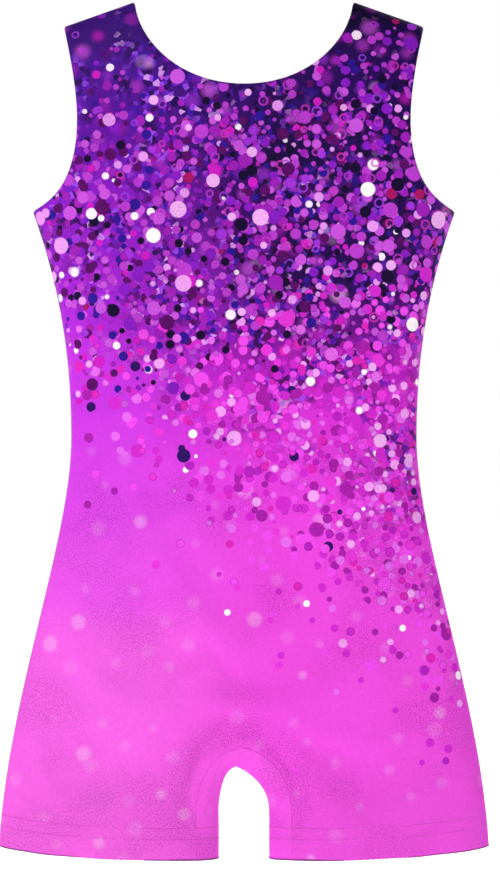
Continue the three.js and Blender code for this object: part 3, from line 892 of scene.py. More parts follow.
@dataclass(frozen=True)
class Print:
    """The printed right side of the knit: a slope of colour with discs scattered over it."""

    batch: int = 0  # panels of different batches carry the same slope with other discs
    slope: float = 0.75
    lean: float = 0.20
    span: float = 0.60
    left: tuple[tuple[float, str], ...] = (
        (0.0, "ee60dc"), (0.134, "f060e2"), (0.195, "e450e4"), (0.256, "d842e4"), (0.317, "c430dc"), (0.378, "a620d0"),
        (0.44, "8a18c0"), (0.47, "7012ac"), (0.50, "5a109c"), (0.53, "4a0e8c"), (0.561, "3a0c74"),
    )
    right: tuple[tuple[float, str], ...] = (
        (0.0, "e64ed6"), (0.12, "ea49da"), (0.20, "e844da"), (0.256, "e23cda"), (0.30, "d830d4"), (0.332, "b41abc"),
        (0.360, "600c82"), (0.390, "26034e"), (0.47, "1c0244"), (0.53, "280456"), (0.58, "0e0226"),
    )
    scatters: tuple[Discs, ...] = (
        Discs(0.0150, 0.0035, 0.0065, 0.66, (0.30, 0.38, 0.60, 0.70), soft=0.0042, strength=0.55, turn=0.3),
        Discs(0.0064, 0.0012, 0.0022, 0.85, (0.22, 0.33, 0.475, 0.545), soft=0.0004, strength=0.9, turn=0.7),
        Discs(0.0078, 0.0018, 0.0028, 0.80, (0.19, 0.30, 0.475, 0.550), turn=1.3, rim=0.45),
        Discs(0.0098, 0.0026, 0.0036, 0.62, (0.19, 0.30, 0.475, 0.550), turn=2.1, rim=0.30),
        Discs(0.0106, 0.0027, 0.0040, 0.52, (0.18, 0.30, 0.475, 0.550), turn=2.9, rim=0.50),
        Discs(0.0130, 0.0018, 0.0030, 0.45, (0.36, 0.44, 0.480, 0.560), strength=0.8, turn=3.3, ring=True),
        Discs(0.0165, 0.0040, 0.0054, 0.34, (0.20, 0.31, 0.470, 0.540), turn=3.8, rim=0.3),
        Discs(0.0140, 0.0016, 0.0031, 0.56, (0.12, 0.22, 0.300, 0.400), turn=5.0, rim=0.50),
        Discs(0.0210, 0.0022, 0.0036, 0.20, (0.15, 0.28, 0.490, 0.560), strength=0.92, turn=4.6, pale=True),
        Discs(0.0420, 0.0044, 0.0058, 0.28, (0.15, 0.26, 0.440, 0.500), strength=0.95, turn=5.5, pale=True),
    )
    faint: Discs = Discs(
        0.0250, 0.0030, 0.0060, 0.60, (-0.20, -0.10, 0.28, 0.34), soft=0.0028, strength=0.15, turn=0.9, pale=True
    )
    shuffle: float = 0.82  # how far the discs stray from an even grid
    thinned: float = 0.12  # share of the discs that is left at the top

    def scatter(self, dye: Dye, place: object, under: object, discs: Discs, number: int) -> Socket:
        """Prints one scatter of discs over a colour.

        Args:
            dye: The material.
            place: The place on the flat pattern.
            under: The colour under the discs.
            discs: The scatter.
            number: Its number, which shifts it.

        Returns:
            The colour with the discs on it.
        """
        shift = Vector((0.37 * number + 0.11 + 0.71 * self.batch, 0.23 * number + 0.05, 0.0))
        turn = Matrix.Rotation(discs.turn, 3, "Z")
        inputs = {0: place, 1: shift, 2: (0.0, 0.0, discs.turn)}
        moved = dye.node("ShaderNodeMapping", inputs, vector_type="POINT").outputs[0]
        cells, chance = dye.cells(moved, discs.cell, self.shuffle)
        along, height = (
            dye.math("SUBTRACT", dye.measure("DOT_PRODUCT", cells["Position"], way), way.dot(shift))
            for way in (turn @ Vector((self.slope, 1.0, 0.0)), turn @ Vector((-self.lean, 1.0, 0.0)))
        )
        low, full, fade, gone = discs.reach
        rising = dye.scaled(along, low, full, 0.0, discs.share)
        falling = dye.scaled(height, fade, gone, 1.0, self.thinned)
        there = dye.math("LESS_THAN", chance[1], dye.math("MULTIPLY", rising, falling))
        far = dye.math("MULTIPLY", cells["Distance"], discs.cell)
        radius = dye.scaled(chance[2], 0.0, 1.0, discs.small, discs.large, soft=False)
        out = dye.math("SUBTRACT", far, radius)
        if discs.ring:
            out = dye.math("ABSOLUTE", out)
            cover = dye.math("MULTIPLY", dye.scaled(out, 0.0003, 0.0009, discs.strength, 0.0), there)
            return dye.mix(cover, under, dye.mix(chance[0], tint("d030a8"), tint("8a3ce0")))
        cover = dye.math("MULTIPLY", dye.scaled(out, -discs.soft, discs.soft * 0.4, discs.strength, 0.0), there)
        if discs.pale:
            colour = dye.ramp(chance[0], PALE_DISCS, steps=True)
        else:
            lower = dye.ramp(chance[0], LOWER_DISCS, steps=True)
            high = dye.math("GREATER_THAN", dye.scaled(height, 0.295, 0.395), chance[2])
            colour = dye.mix(high, lower, dye.ramp(chance[0], UPPER_DISCS, steps=True))
        if discs.rim:
            some = dye.math("GREATER_THAN", chance[1], discs.share * 0.4)
            edge = dye.math("MULTIPLY", dye.scaled(out, -0.0009, -0.0002, 0.0, discs.rim), some)
            colour = dye.mix(edge, colour, tint("58045c"))
        return dye.mix(cover, under, colour)

    def ground(self, dye: Dye, place: object) -> Socket:
        """The slope of colour under the discs."""
        parts = dye.axes(place)
        drift = dye.math("MULTIPLY_ADD", dye.noise(place, 14.0, 3.0), 0.060, -0.030)
        share = dye.math("DIVIDE", dye.math("ADD", parts[1], drift), self.span)
        scales = [tuple((at / self.span, code) for at, code in side) for side in (self.left, self.right)]
        across = dye.scaled(dye.math("ADD", parts[0], drift), -0.095, 0.030)
        return dye.mix(across, dye.ramp(share, scales[0]), dye.ramp(share, scales[1]))

    def shards(self, dye: Dye, place: object, under: object) -> Socket:
        """The small broken glitter between the discs."""
        chance = dye.cells(place, 0.0034, 1.0)[1]
        parts = dye.axes(place)
        along = dye.math("MULTIPLY_ADD", parts[0], self.slope, parts[1])
        band = dye.math("MULTIPLY", dye.scaled(along, 0.25, 0.35), dye.scaled(along, 0.47, 0.56, 1.0, 0.10))
        patch = dye.scaled(dye.noise(place, 26.0, 2.0), 0.40, 0.58)
        cover = dye.math("MULTIPLY", dye.math("MULTIPLY", band, patch), dye.scaled(chance[1], 0.30, 0.45, 0.0, 0.85))
        return dye.mix(cover, under, dye.ramp(chance[0], SHARDS, steps=True))

    def colour(self, dye: Dye, place: object) -> Socket:
        """The whole print."""
        shown = self.shards(dye, place, self.ground(dye, place))
        shown = self.scatter(dye, place, shown, self.faint, 9)
        for number, discs in enumerate(self.scatters, 1):
            shown = self.scatter(dye, place, shown, discs, number)
        return shown


@dataclass(frozen=True)
class Knit:
    """Fine stretch knit, satin on its right side."""

    wale: float = 0.00062
    course: float = 0.00050
    relief: float = 0.00006
    roughness: float = 0.50

    def loops(self, dye: Dye, place: object) -> Socket:
        """Height of the knitted loops: plaits side by side, each a row of slanted stitches."""
        parts = dye.axes(place)
        plait = dye.ribs(parts[0], self.wale)
        slant = dye.math("MULTIPLY_ADD", plait, 1.6, dye.math("MULTIPLY", parts[1], 2 * math.pi / self.course))
        return dye.math("MULTIPLY", plait, dye.math("MULTIPLY_ADD", dye.math("SINE", slant), 0.25, 0.75))

    def right_side(self, name: str, printed: Print) -> Material:
        """The printed face.

        Args:
            name: The material's name.
            printed: The print on it.

        Returns:
            The material.
        """
        dye = Dye(name)
        place = dye.flat()
        grain = dye.noise(place, 1000.0, 2.0)
        mottle = dye.noise(place, 320.0, 3.0)
        patch = dye.scaled(dye.noise(place, 16.0, 2.0), 0.42, 0.66)
        # Painted shade: a band arcing round the crotch, where the crease beside the legs' gap lies in shadow; the dark
        # speckle is strongest there
        arch = dye.measure("DISTANCE", place, (-0.004, 0.046, 0.0))
        painted_crease_shade = dye.math("MULTIPLY", dye.scaled(arch, 0.026, 0.036), dye.scaled(arch, 0.044, 0.060, 1.0, 0.0))
        patch = dye.math("MAXIMUM", patch, painted_crease_shade)
        speck = dye.math("ADD", dye.scaled(grain, 0.25, 0.75, 0.93, 1.06), dye.scaled(mottle, 0.3, 0.7, -0.03, 0.03))
        # Dark speckle, heavier in random patches and in the painted crease shade
        dark = dye.math("MULTIPLY", dye.scaled(dye.noise(place, 1150.0, 1.0), 0.50, 0.60, 0.0, 0.36), patch)
        speck = dye.math("SUBTRACT", speck, dark)
        grey = dye.node("ShaderNodeCombineColor", {0: speck, 1: speck, 2: speck}).outputs[0]
        colour = dye.mix(1.0, printed.colour(dye, place), grey, "MULTIPLY")
        height = dye.math("MULTIPLY_ADD", grain, 0.9, self.loops(dye, place))
        dye.bump(height, self.relief)
        rough = dye.scaled(mottle, 0.3, 0.7, self.roughness - 0.05, self.roughness + 0.07)
        return dye.surface(
            colour, rough, Sheen_Weight=0.03, Sheen_Roughness=0.4, Sheen_Tint=tint("f0a8f0"), Specular_IOR_Level=0.08
        )

    def wrong_side(self, name: str, printed: Print) -> Material:
        """The unprinted back, where the colour only shows through."""
        dye = Dye(name)
        place = dye.flat()
        through = dye.mix(0.30, tint("f6eef4"), printed.ground(dye, place))
        fleck = dye.uneven(place, 700.0, 0.0, 0.12)
        dye.bump(self.loops(dye, place), self.relief)
        return dye.surface(dye.mix(fleck, through, tint("d8b8d6")), 0.82, Sheen_Weight=0.25, Specular_IOR_Level=0.25)

    def plain(self, name: str, code: str) -> Material:
        """An unprinted knit in one dye, a little uneven."""
        dye = Dye(name)
        place = dye.flat()
        fleck = dye.uneven(place, 600.0, 0.0, 0.16, 3.0)
        dye.bump(self.loops(dye, place), self.relief)
        return dye.surface(dye.mix(fleck, tint(code), tint("d9c2d0")), 0.85, Sheen_Weight=0.3, Specular_IOR_Level=0.22)


@dataclass(frozen=True)
class Elastic:
    """Ribbed braided elastic."""

    rib: float = 0.0011
    pick: float = 0.0016

    def finish(self, name: str) -> Material:
        """The elastic's material."""
        dye = Dye(name)
        place = dye.flat()
        parts = dye.axes(place)
        rib = dye.ribs(parts[0], self.rib)
        dye.bump(dye.math("MULTIPLY_ADD", dye.wave(parts[1], self.pick), 0.25, rib), 0.00012)
        # Painted shade: the grooves between the ribs are coloured a darker grey
        colour = dye.mix(dye.scaled(rib, 0.0, 0.5, 0.5, 0.0), tint("f3f0f2"), tint("b9b2b8"))
        return dye.surface(colour, dye.uneven(place, 500.0, 0.7, 0.85), Specular_IOR_Level=0.3)


@dataclass(frozen=True)
class Thread:
    """Polyester sewing thread."""

    code: str
    dark: str

    def finish(self, name: str) -> Material:
        """The thread's material."""
        dye = Dye(name)
        place = dye.space()
        ply = dye.noise(place, 2600.0, 2.0)
        colour = dye.mix(dye.scaled(ply, 0.3, 0.7, 0.0, 0.55), tint(self.code), tint(self.dark))
        dye.bump(ply, 0.00005)
        rough = dye.uneven(place, 900.0, 0.38, 0.52)
        return dye.surface(colour, rough, Sheen_Weight=0.15, Specular_IOR_Level=0.45)


@dataclass(frozen=True)
class Satin:
    """Woven satin label tape with a selvedge along both sides."""

    code: str = "f4f2ef"
    yarn: float = 0.00028

    def finish(self, name: str, half_width: float) -> Material:
        """The label's material.

        Args:
            name: Its name.
            half_width: Half the tape's width.

        Returns:
            The material.
        """
        dye = Dye(name)
        place = dye.flat()
        parts = dye.axes(place)
        warp = dye.wave(parts[0], self.yarn)
        climb = dye.math("MULTIPLY", parts[1], 2 * math.pi / self.yarn)
        weft = dye.math("SINE", dye.math("MULTIPLY_ADD", parts[0], 900.0, climb))
        dye.bump(dye.math("MULTIPLY_ADD", weft, 0.5, warp), 0.00003)
        out = dye.math("SUBTRACT", half_width, dye.math("ABSOLUTE", parts[0]))
        colour = dye.mix(dye.scaled(out, 0.0012, 0.0016, 0.55, 0.0), tint(self.code), tint("c9bcc9"))
        colour = dye.mix(dye.uneven(place, 90.0, 0.0, 0.10), colour, tint("d8d2cc"))
        return dye.surface(colour, dye.uneven(place, 400.0, 0.30, 0.42), Anisotropic=0.5, Specular_IOR_Level=0.5)


class Wardrobe:
    """Every finish of the garment, made once."""

    def __init__(self) -> None:
        """Mixes the finishes."""
        knit, printed = Knit(), Print()
        self.print = knit.right_side("printed_knit", printed)
        self.back_print = knit.right_side("printed_knit_back", replace(printed, batch=1))
        self.wrong = knit.wrong_side("printed_knit_wrong_side", printed)
        self.lining = knit.plain("lining_knit", "f4e8f0")
        self.elastic = Elastic().finish("elastic")
        self.seam = Thread("c052c4", "7c2490").finish("seam_thread")
        self.hem = Thread("e858d8", "dc50ce").finish("hem_thread")
        self.edge = Thread("7a1c7c", "4a0e54").finish("hem_edge_thread")
        self.size_tape = Satin().finish("size_label_satin", 0.012)
        self.care_tape = Satin("f7f6f4").finish("care_label_satin", 0.020)


# ---------------------------------------------------------------------------
# Sub-assemblies
# ---------------------------------------------------------------------------


@dataclass
class Layers:
    """Thicknesses of the cloth, and how deep each layer lies under the outside of the garment."""

    cloth: float = 0.00055
    fold: float = 0.00145
    hem_fold: float = 0.000925
    seam: float = 0.00026
    elastic: float = 0.00115
    band: float = 0.0005
    turning: float = 0.0029
    edge_stitch: float = 0.00305
    hem: float = 0.00185
    hem_stitch: float = 0.0020
    lining: float = 0.00115
    seam_cloth: float = 0.0016
    seam_near: float = 0.0009
    seam_far: float = 0.0074
    side_foot: float = 0.00045  # space between a side seam and the hem under it
    side_top: float = 0.00075  # space between a side seam and the armhole's turning
    strap_end: float = 0.0007  # space between a shoulder seam and the turnings beside it


@dataclass
class Workroom:
    """What every sub-assembly is made with: the cut, the layers and the finishes."""

    cut: Cut
    layers: Layers
    finishes: Wardrobe

    def deliver(self, piece: Piece, body: str, slot: str, *nodes: str) -> None:
        """Puts a finished piece on its body.

        Args:
            piece: The piece.
            body: The body that it rides on.
            slot: The material slot of its finish; not used.
            nodes: The nodes of the frame that it stands for.
        """
        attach(piece, body)
        if nodes:
            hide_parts(*nodes)
        LOG.info("%s: %d faces, for %s", piece.name, len(piece.data.polygons), ", ".join(nodes) or "its seam")

    def sew(self, thread: Piece, finish: Material, slot: str, *nodes: str) -> None:
        """Gives sewn thread its finish and puts it on the garment."""
        dress(thread, finish)
        self.deliver(thread, "garment", slot, *nodes)


@dataclass
class Panel:
    """The front or the back of the body, straps and legs in one cut."""

    room: Workroom
    face: Face
    neck: Bow
    name: str
    node: str
    pitch: float = 0.0028
    clearance: float = 0.62  # how many pitches from the edge the places inside begin
    seam_spread: float = 0.02  # how far in the seams still lift the cloth

    def outline(self) -> tuple[Array, Array]:
        """The edge of the panel's flat part.

        Returns:
            Its (x, z) places anticlockwise as the front is seen, and for each its rim's radius, turn and tail.
        """
        cut, layers = self.room.cut, self.room.layers
        seam = (layers.seam, math.pi / 2, SEAM_TAIL)
        folded, hemmed = (layers.fold, math.pi, 0.0), (layers.hem_fold, math.pi, 0.0)
        reach = cut.gusset_reach + layers.seam
        rail = cut.arch_place(np.linspace(0, 2, 300), reach, layers.hem_fold)
        leg = cut.hem_half - cut.gap_half
        share = np.sin(np.linspace(reach / leg, 1.0, 400) ** 0.8 * math.pi / 2)
        share = np.maximum.accumulate(np.clip(share, reach / leg, 1.0))
        hem_z = cut.hem_height(cut.gap_half + leg * share) + layers.hem_fold
        hem_x = cut.gap_side(hem_z) + (cut.side_half(hem_z) - cut.gap_side(hem_z)) * share
        side_z = np.linspace(cut.hem_rise + layers.hem_fold, cut.underarm[1] - layers.fold, 600)
        armhole = cut.armhole_place(np.linspace(2, 0, 500), layers.fold)
        inset = cut.along_shoulder * layers.fold
        outer, inner = np.array(cut.strap_outer) - inset, np.array(cut.strap_inner) + inset
        shoulder = outer + (inner - outer) * np.linspace(0, 1, 60)[:, None]
        neck = cut.neck_place(self.neck, np.linspace(0, 1, 300), layers.fold)
        parts = [
            (rail, seam), (np.stack([hem_x, hem_z], -1), hemmed),
            (np.stack([cut.side_half(side_z), side_z], -1), seam),
            (armhole, folded), (shoulder, seam), (neck, folded),
        ]
        places, rims = [], []
        for line, rim in parts:
            flat = respaced(cut.unroll(line[:, 0], line[:, 1]), self.pitch)
            places.append(flat if not places else flat[1:])
            rims.append(np.tile(rim, (len(places[-1]), 1)))
        right, rim = np.vstack(places), np.vstack(rims)
        left, left_rim = right[1:-1][::-1] * [-1, 1], rim[1:-1][::-1]
        return np.vstack([right, left]), np.vstack([rim, left_rim])

    def filling(self, outline: Array) -> Array:
        """Even places inside the flat outline."""
        low, high = outline.min(0), outline.max(0)
        rise = self.pitch * math.sqrt(3) / 2
        rows = np.arange(low[1] + rise / 2, high[1], rise)
        columns = np.arange(-math.ceil(high[0] / self.pitch), math.ceil(high[0] / self.pitch) + 1) * self.pitch
        place = np.array([(x + (self.pitch / 2 if i % 2 else 0.0), z) for i, z in enumerate(rows) for x in columns])
        start, end = outline, np.roll(outline, -1, 0)
        inside = np.zeros(len(place), bool)
        for (ax, az), (bx, bz) in zip(start, end):
            if az == bz:
                continue
            crosses = (place[:, 1] >= min(az, bz)) & (place[:, 1] < max(az, bz))
            inside ^= crosses & (place[:, 0] < ax + (place[:, 1] - az) * (bx - ax) / (bz - az))
        place = place[inside]
        tree = tree_of(outline)
        clear = [tree.find((*spot, 0.0))[2] > self.clearance * self.pitch for spot in place]
        return place[np.array(clear)]

    def pattern(self) -> tuple[Array, list[tuple[int, ...]], Array, Array]:
        """The flat pattern as a mesh.

        Returns:
            Its places, its triangles, the numbers of its edge places in order, and their rims.
        """
        outline, rim = self.outline()
        places = np.vstack([outline, self.filling(outline)])
        count = len(outline)
        ring = [(i, (i + 1) % count) for i in range(count)]
        spots, _, faces, origins, _, _ = geometry.delaunay_2d_cdt([Vector(p) for p in places], ring, [], 1, 1e-7)
        where = {origin: i for i, group in enumerate(origins) for origin in group}
        flat = np.array([tuple(s) for s in spots])
        loop = np.array([where[i] for i in range(count)])
        return flat, [tuple(f) for f in faces], loop, rim

    def patch(self) -> Patch:
        """The panel's cloth in place, with the rim that it will be rolled into."""
        cut, layers = self.room.cut, self.room.layers
        flat, faces, loop, rim = self.pattern()
        x, z = cut.fold(flat)
        near = np.minimum(cut.side_half(z) - np.abs(x), cut.shoulder_height(x) - z)
        sign = np.full(len(x), float(self.face.value))
        points, normals = cut.skin(x, z, sign, least_gap=cut.gusset_reach / 2)
        points[:, 1] += self.face.value * layers.seam * np.exp(-np.maximum(near, 0.0) / self.seam_spread)
        if self.face is Face.BACK:
            faces, loop, rim = [f[::-1] for f in faces], loop[::-1], rim[::-1]
        soft = (rim + np.roll(rim, -1, 0) + np.roll(rim, 1, 0)) / 3
        return Patch(points, normals, flat, faces, loop, soft[:, 0], soft[:, 1], soft[:, 2])

    def build(self, settle: Settling | None) -> None:
        """Makes the panel.

        Args:
            settle: How a simulation let the cloth settle, where it was run.
        """
        patch = self.patch()
        if settle:
            patch.points = patch.points + patch.normals * settle.rise(patch.flat)[:, None]
        points, faces, flat = patch.rimmed()
        made = make_object(self.name, points, faces, flat)
        finishes = self.room.finishes
        printed = finishes.print if self.face is Face.FRONT else finishes.back_print
        thicken(made, self.room.layers.cloth, printed, finishes.wrong)
        self.room.deliver(made, "garment", "printed_knit", self.node)


@dataclass
class Settling:
    """How far a panel's cloth moved as it settled, read back at any place of its flat pattern."""

    places: Array
    moved: Array
    free: ClassVar[tuple[float, float]] = (0.004, 0.018)  # the cloth comes free this far from its edge
    edge_calm: ClassVar[tuple[float, float]] = (0.0015, 0.034)  # past the turnings, and where calm ends
    hem_calm: ClassVar[tuple[float, float]] = (0.002, 0.050)  # the same above the hems
    nearest: ClassVar[int] = 8  # simulated places that one movement is read from
    blur: ClassVar[float] = 0.0008

    @classmethod
    def of(
        cls, panel: Panel, pitch: float = 0.0060, slack: float = 0.012, most: float = 0.0020, frames: int = 20
    ) -> Settling:
        """Lets a coarser copy of a panel hang by its seams and edges, a little too large for them.

        Args:
            panel: The panel.
            pitch: Size of the copy's faces.
            slack: How much larger the cloth is than the shape it hangs in.
            most: The furthest that the cloth may move.
            frames: How long it settles.

        Returns:
            How the cloth moved.
        """
        patch = replace(panel, pitch=pitch).patch()
        made = make_object("settling_cloth", patch.points, patch.faces)
        tree = tree_of(patch.flat[patch.loop])
        edge = np.array([tree.find((*spot, 0.0))[2] for spot in patch.flat])
        sewn = made.vertex_groups.new(name="sewn")
        for i, weight in enumerate(1.0 - smooth_step(edge, *cls.free)):
            sewn.add([i], float(weight), "REPLACE")
        cloth = made.modifiers.new("cloth", "CLOTH")
        cloth.settings.quality, cloth.settings.mass = 6, 0.10
        cloth.settings.tension_stiffness = cloth.settings.compression_stiffness = 12.0
        cloth.settings.shear_stiffness, cloth.settings.bending_stiffness = 4.0, 0.35
        cloth.settings.vertex_group_mass, cloth.settings.shrink_min = "sewn", -slack
        cloth.collision_settings.use_collision = cloth.collision_settings.use_self_collision = False
        for step in range(1, frames + 1):
            bpy.context.scene.frame_set(step)
        hung = made.evaluated_get(bpy.context.evaluated_depsgraph_get())
        place = np.zeros(len(patch.points) * 3, np.float32)
        hung.data.vertices.foreach_get("co", place)
        moved = ((place.reshape(-1, 3) - patch.points) * patch.normals).sum(1)
        bpy.data.objects.remove(made)
        bpy.context.scene.frame_set(1)
        LOG.info("%s settled by %.1f to %.1f mm", panel.name, moved.min() * 1000, moved.max() * 1000)
        cut, place = panel.room.cut, patch.points
        calm = smooth_step(edge, cut.neck_turning + cls.edge_calm[0], cls.edge_calm[1])
        above = place[:, 2] - cut.hem_height(place[:, 0])
        calm = calm * smooth_step(above, cut.hem_depth + cls.hem_calm[0], cls.hem_calm[1])
        return cls(patch.flat, most * np.tanh(moved / (2 * most)) * calm)

    def rise(self, flat: Array) -> Array:
        """The movement at flat pattern places, from the nearest simulated ones."""
        tree = tree_of(self.places)
        found = np.zeros(len(flat))
        for i, spot in enumerate(flat):
            near = tree.find_n((*spot, 0.0), self.nearest)
            weight = np.array([1 / (far + self.blur) ** 2 for _, _, far in near])
            found[i] = (weight * self.moved[[k for _, k, _ in near]]).sum() / weight.sum()
        return found


@dataclass
class Gusset:
    """The arched strip between the legs, its lining and the seams on both sides of it."""

    room: Workroom
    legs: int = 12
    curve: int = 44
    across: int = 9
    lining_reach: float = 0.011
    allowance: float = 0.0030
    pressed: float = 0.0004  # thickness of the allowances, pressed flat
    thread_lift: float = 0.00035

    def stations(self) -> Array:
        """Places along the strip, from the right leg's hem to the left leg's."""
        leg = np.linspace(1, 2, self.legs + 1)[1:]
        return np.concatenate([-leg[::-1], np.linspace(-1, 1, self.curve + 1), leg])

    def grid(self, reach: float, foot: float, sink: float) -> tuple[Array, Array, Array]:
        """Rows of points across the strip, from the front to the back.

        Args:
            reach: How far the strip goes from the edge between the legs.
            foot: How far above the hem edge it ends.
            sink: How deep it lies.

        Returns:
            The points, the normals and the flat pattern places.
        """
        cut, stations = self.room.cut, self.stations()
        most = math.acos(1 - reach / cut.crotch_roll)
        steps = np.arange(-self.across, self.across + 1)
        reaches = cut.crotch_roll * (1 - np.cos(steps / self.across * most))
        reach, at = np.meshgrid(reaches, stations)
        place = cut.arch_place(at, reach, foot)
        points, normals = cut.skin(place[..., 0], place[..., 1], np.sign(steps)[None] * np.ones_like(at), sink)
        width = run_length(points[len(stations) // 2])
        flat = lattice(width - width[self.across], run_length(points[:, self.across]))
        return points, normals, flat

    def outer(self) -> None:
        """The printed strip, its long edges turned into the seams and its ends into the hems."""
        layers, cut = self.room.layers, self.room.cut
        points, normals, flat = self.grid(cut.gusset_reach - layers.seam, layers.hem_fold, 0.0)
        count, across = points.shape[:2]
        index = np.arange(count * across).reshape(count, across)
        faces = grid_faces(count, across)
        loop = np.concatenate([index[:, 0], index[-1, 1:], index[:-1, -1][::-1], index[0, 1:-1][::-1]])
        ends = np.zeros((count, across), bool)
        ends[[0, -1], 1:-1] = True
        points, normals, flat = points.reshape(-1, 3), normals.reshape(-1, 3), flat.reshape(-1, 2)
        middle = faces[len(faces) // 2]
        if not looks(points, middle, normals[middle[0]]):
            faces, loop = [f[::-1] for f in faces], loop[::-1]
        end = ends.reshape(-1)[loop]
        patch = Patch(
            points, normals, flat, faces, loop, np.where(end, layers.hem_fold, layers.seam),
            np.where(end, math.pi, math.pi / 2), np.where(end, 0.0, SEAM_TAIL),
        )
        made = make_object("gusset_outer", *patch.rimmed())
        thicken(made, layers.cloth, self.room.finishes.print, self.room.finishes.wrong)
        self.room.deliver(made, "garment", "printed_knit", "crotch_gusset")

    def lining(self) -> None:
        """The soft lining on the inside of the strip."""
        layers, cut = self.room.layers, self.room.cut
        points, normals, flat = self.grid(self.lining_reach, cut.hem_depth + END_GAP, layers.lining + layers.cloth)
        made = strip("gusset_lining_cloth", points, flat, False, -normals[0, 0])
        thicken(made, layers.cloth, self.room.finishes.lining)
        self.room.deliver(made, "garment", "lining_knit", "gusset_lining")

    def seam(self, face: Face) -> None:
        """The allowances along one side of the strip, pressed flat and overlocked."""
        layers, cut = self.room.layers, self.room.cut
        reaches = cut.gusset_reach + np.linspace(-self.allowance, self.allowance, 5)
        reach, at = np.meshgrid(reaches, self.stations())
        place = cut.arch_place(at, reach, cut.hem_depth + END_GAP)
        points, normals = cut.skin(place[..., 0], place[..., 1], float(face.value), layers.seam_cloth)
        word = face.name.lower()
        flat = lattice(reaches, run_length(points[:, 2]))
        made = strip(f"gusset_{word}_allowance", points, flat, False, normals[0, 0])
        thicken(made, self.pressed, self.room.finishes.wrong)
        self.room.deliver(made, "garment", "printed_knit")
        middle = points - normals * (self.pressed / 2)
        sewn = overlock(f"gusset_{word}_overlock", middle[:, 0], middle[:, -1], -normals[:, 2], self.thread_lift)
        self.room.sew(sewn, self.room.finishes.seam, "seam_thread", f"gusset_{word}_seam")

    def build(self) -> None:
        """Makes the strip, its lining and both seams."""
        self.outer()
        self.lining()
        self.seam(Face.FRONT)
        self.seam(Face.BACK)


def overlock(name: str, needle: Array, edge: Array, side: Array, lift: float) -> Piece:
    """Overlock stitching: thread that loops round an edge between a needle line and the edge.

    Args:
        name: The piece's name.
        needle: The needle line.
        edge: The cloth's edge, point for point with the needle line.
        side: The way that one face of the cloth looks, at each point.
        lift: How far the thread lies from the middle of the cloth.

    Returns:
        The thread.
    """
    rails = respaced(np.stack([needle, edge, needle + side], 1), OVERLOCK_STITCH / 4)
    near, far, up = rails[:, 0], rails[:, 1], unit(rails[:, 2] - rails[:, 0])
    out = unit(far - near) * OVERLOCK_REACH
    path = []
    for i in range(0, len(near) - 4, 4):
        over, under = up[i] * lift, up[i + 2] * lift
        path += [near[i] + over, (near[i] + far[i + 1]) / 2 + over * 1.15, far[i + 1] + over, far[i + 1] + out[i + 1]]
        path += [far[i + 2] - under, (near[i + 3] + far[i + 2]) / 2 - under * 1.15, near[i + 3] - under]
    seam = [near[i : i + 4] + up[i : i + 4] * (lift * 1.3) for i in range(0, len(near) - 4, 4)]
    return threads(name, [np.array(path), *seam], OVERLOCK_THREAD)


def dashes(rails: Array) -> list[Array]:
    """Short stitches along both sides of a pair of rails, every second step."""
    return [rails[i : i + 2, side] for side in (0, 1) for i in range(0, len(rails) - 1, 2)]


@dataclass
class BoundEdge:
    """A turned-in edge: elastic, the turned cloth and the stitching that holds it."""

    room: Workroom
    rows: Rows
    word: str
    band: tuple[float, float] = (0.0017, 0.0080)  # where the elastic lies, inside the edge
    inset: tuple[float, float] = (0.0040, 0.0005)  # the stitching's sides, from the turning's cut edge
    stitch: float = 0.0016
    thread: float = 0.00019  # half its thickness

    def strip_of(self, name: str, depths: Sequence[float], sink: float, printed: bool) -> Piece:
        """A strip round the edge.

        Args:
            name: The piece's name.
            depths: How far inside the edge its rows lie.
            sink: How deep it lies under the outside.
            printed: Whether it carries on the garment's print.

        Returns:
            The strip, facing inwards.
        """
        points, normals = even_rows(*self.rows(depths, sink), ROW_STEP)
        if printed:
            flat = self.room.cut.unroll(points[..., 0], points[..., 2])
        else:
            flat = lattice(np.array(depths), run_length(points[:, 0]))
        return strip(name, points, flat, True, -normals[0, 0])

    def build(self) -> None:
        """Makes the elastic, the turning and the stitching."""
        layers, finishes, cut = self.room.layers, self.room.finishes, self.room.cut
        depths = np.linspace(*self.band, 4)
        elastic = self.strip_of(f"{self.word}_elastic_band", depths, layers.elastic + layers.band, False)
        thicken(elastic, layers.band, finishes.elastic)
        self.room.deliver(elastic, "garment", "elastic", f"{self.word}_elastic")

        depths = np.linspace(layers.fold, cut.neck_turning, 6)
        turned = self.strip_of(f"{self.word}_turned_cloth", depths, layers.turning, True)
        thicken(turned, layers.cloth, finishes.print, finishes.wrong)
        self.room.deliver(turned, "garment", "printed_knit", f"{self.word}_turning")

        points, _ = self.rows([cut.neck_turning - inset for inset in self.inset], layers.edge_stitch)
        rails = respaced(points, self.stitch, closed=True)
        zigzag = np.array([rail.mean(0) if i % 2 else rail[(0, 1, 1, 0)[i % 4]] for i, rail in enumerate(rails)])
        sewn = threads(f"{self.word}_edge_stitches", [np.vstack([zigzag, zigzag[:1]]), *dashes(rails)], self.thread)
        self.room.sew(sewn, finishes.seam, "seam_thread", f"{self.word}_stitching")


def rows_round(cut: Cut, parts: Sequence[tuple[Array, Array, Array]], sink: float) -> tuple[Array, Array]:
    """Rows of points round an opening, part after part.

    Args:
        cut: The cut.
        parts: The x, z and face of the places of each part.
        sink: How deep the points lie.

    Returns:
        The points and their normals.
    """
    points, normals = zip(*(cut.skin(x, z, face, sink) for x, z, face in parts))
    return np.vstack(points), np.vstack(normals)


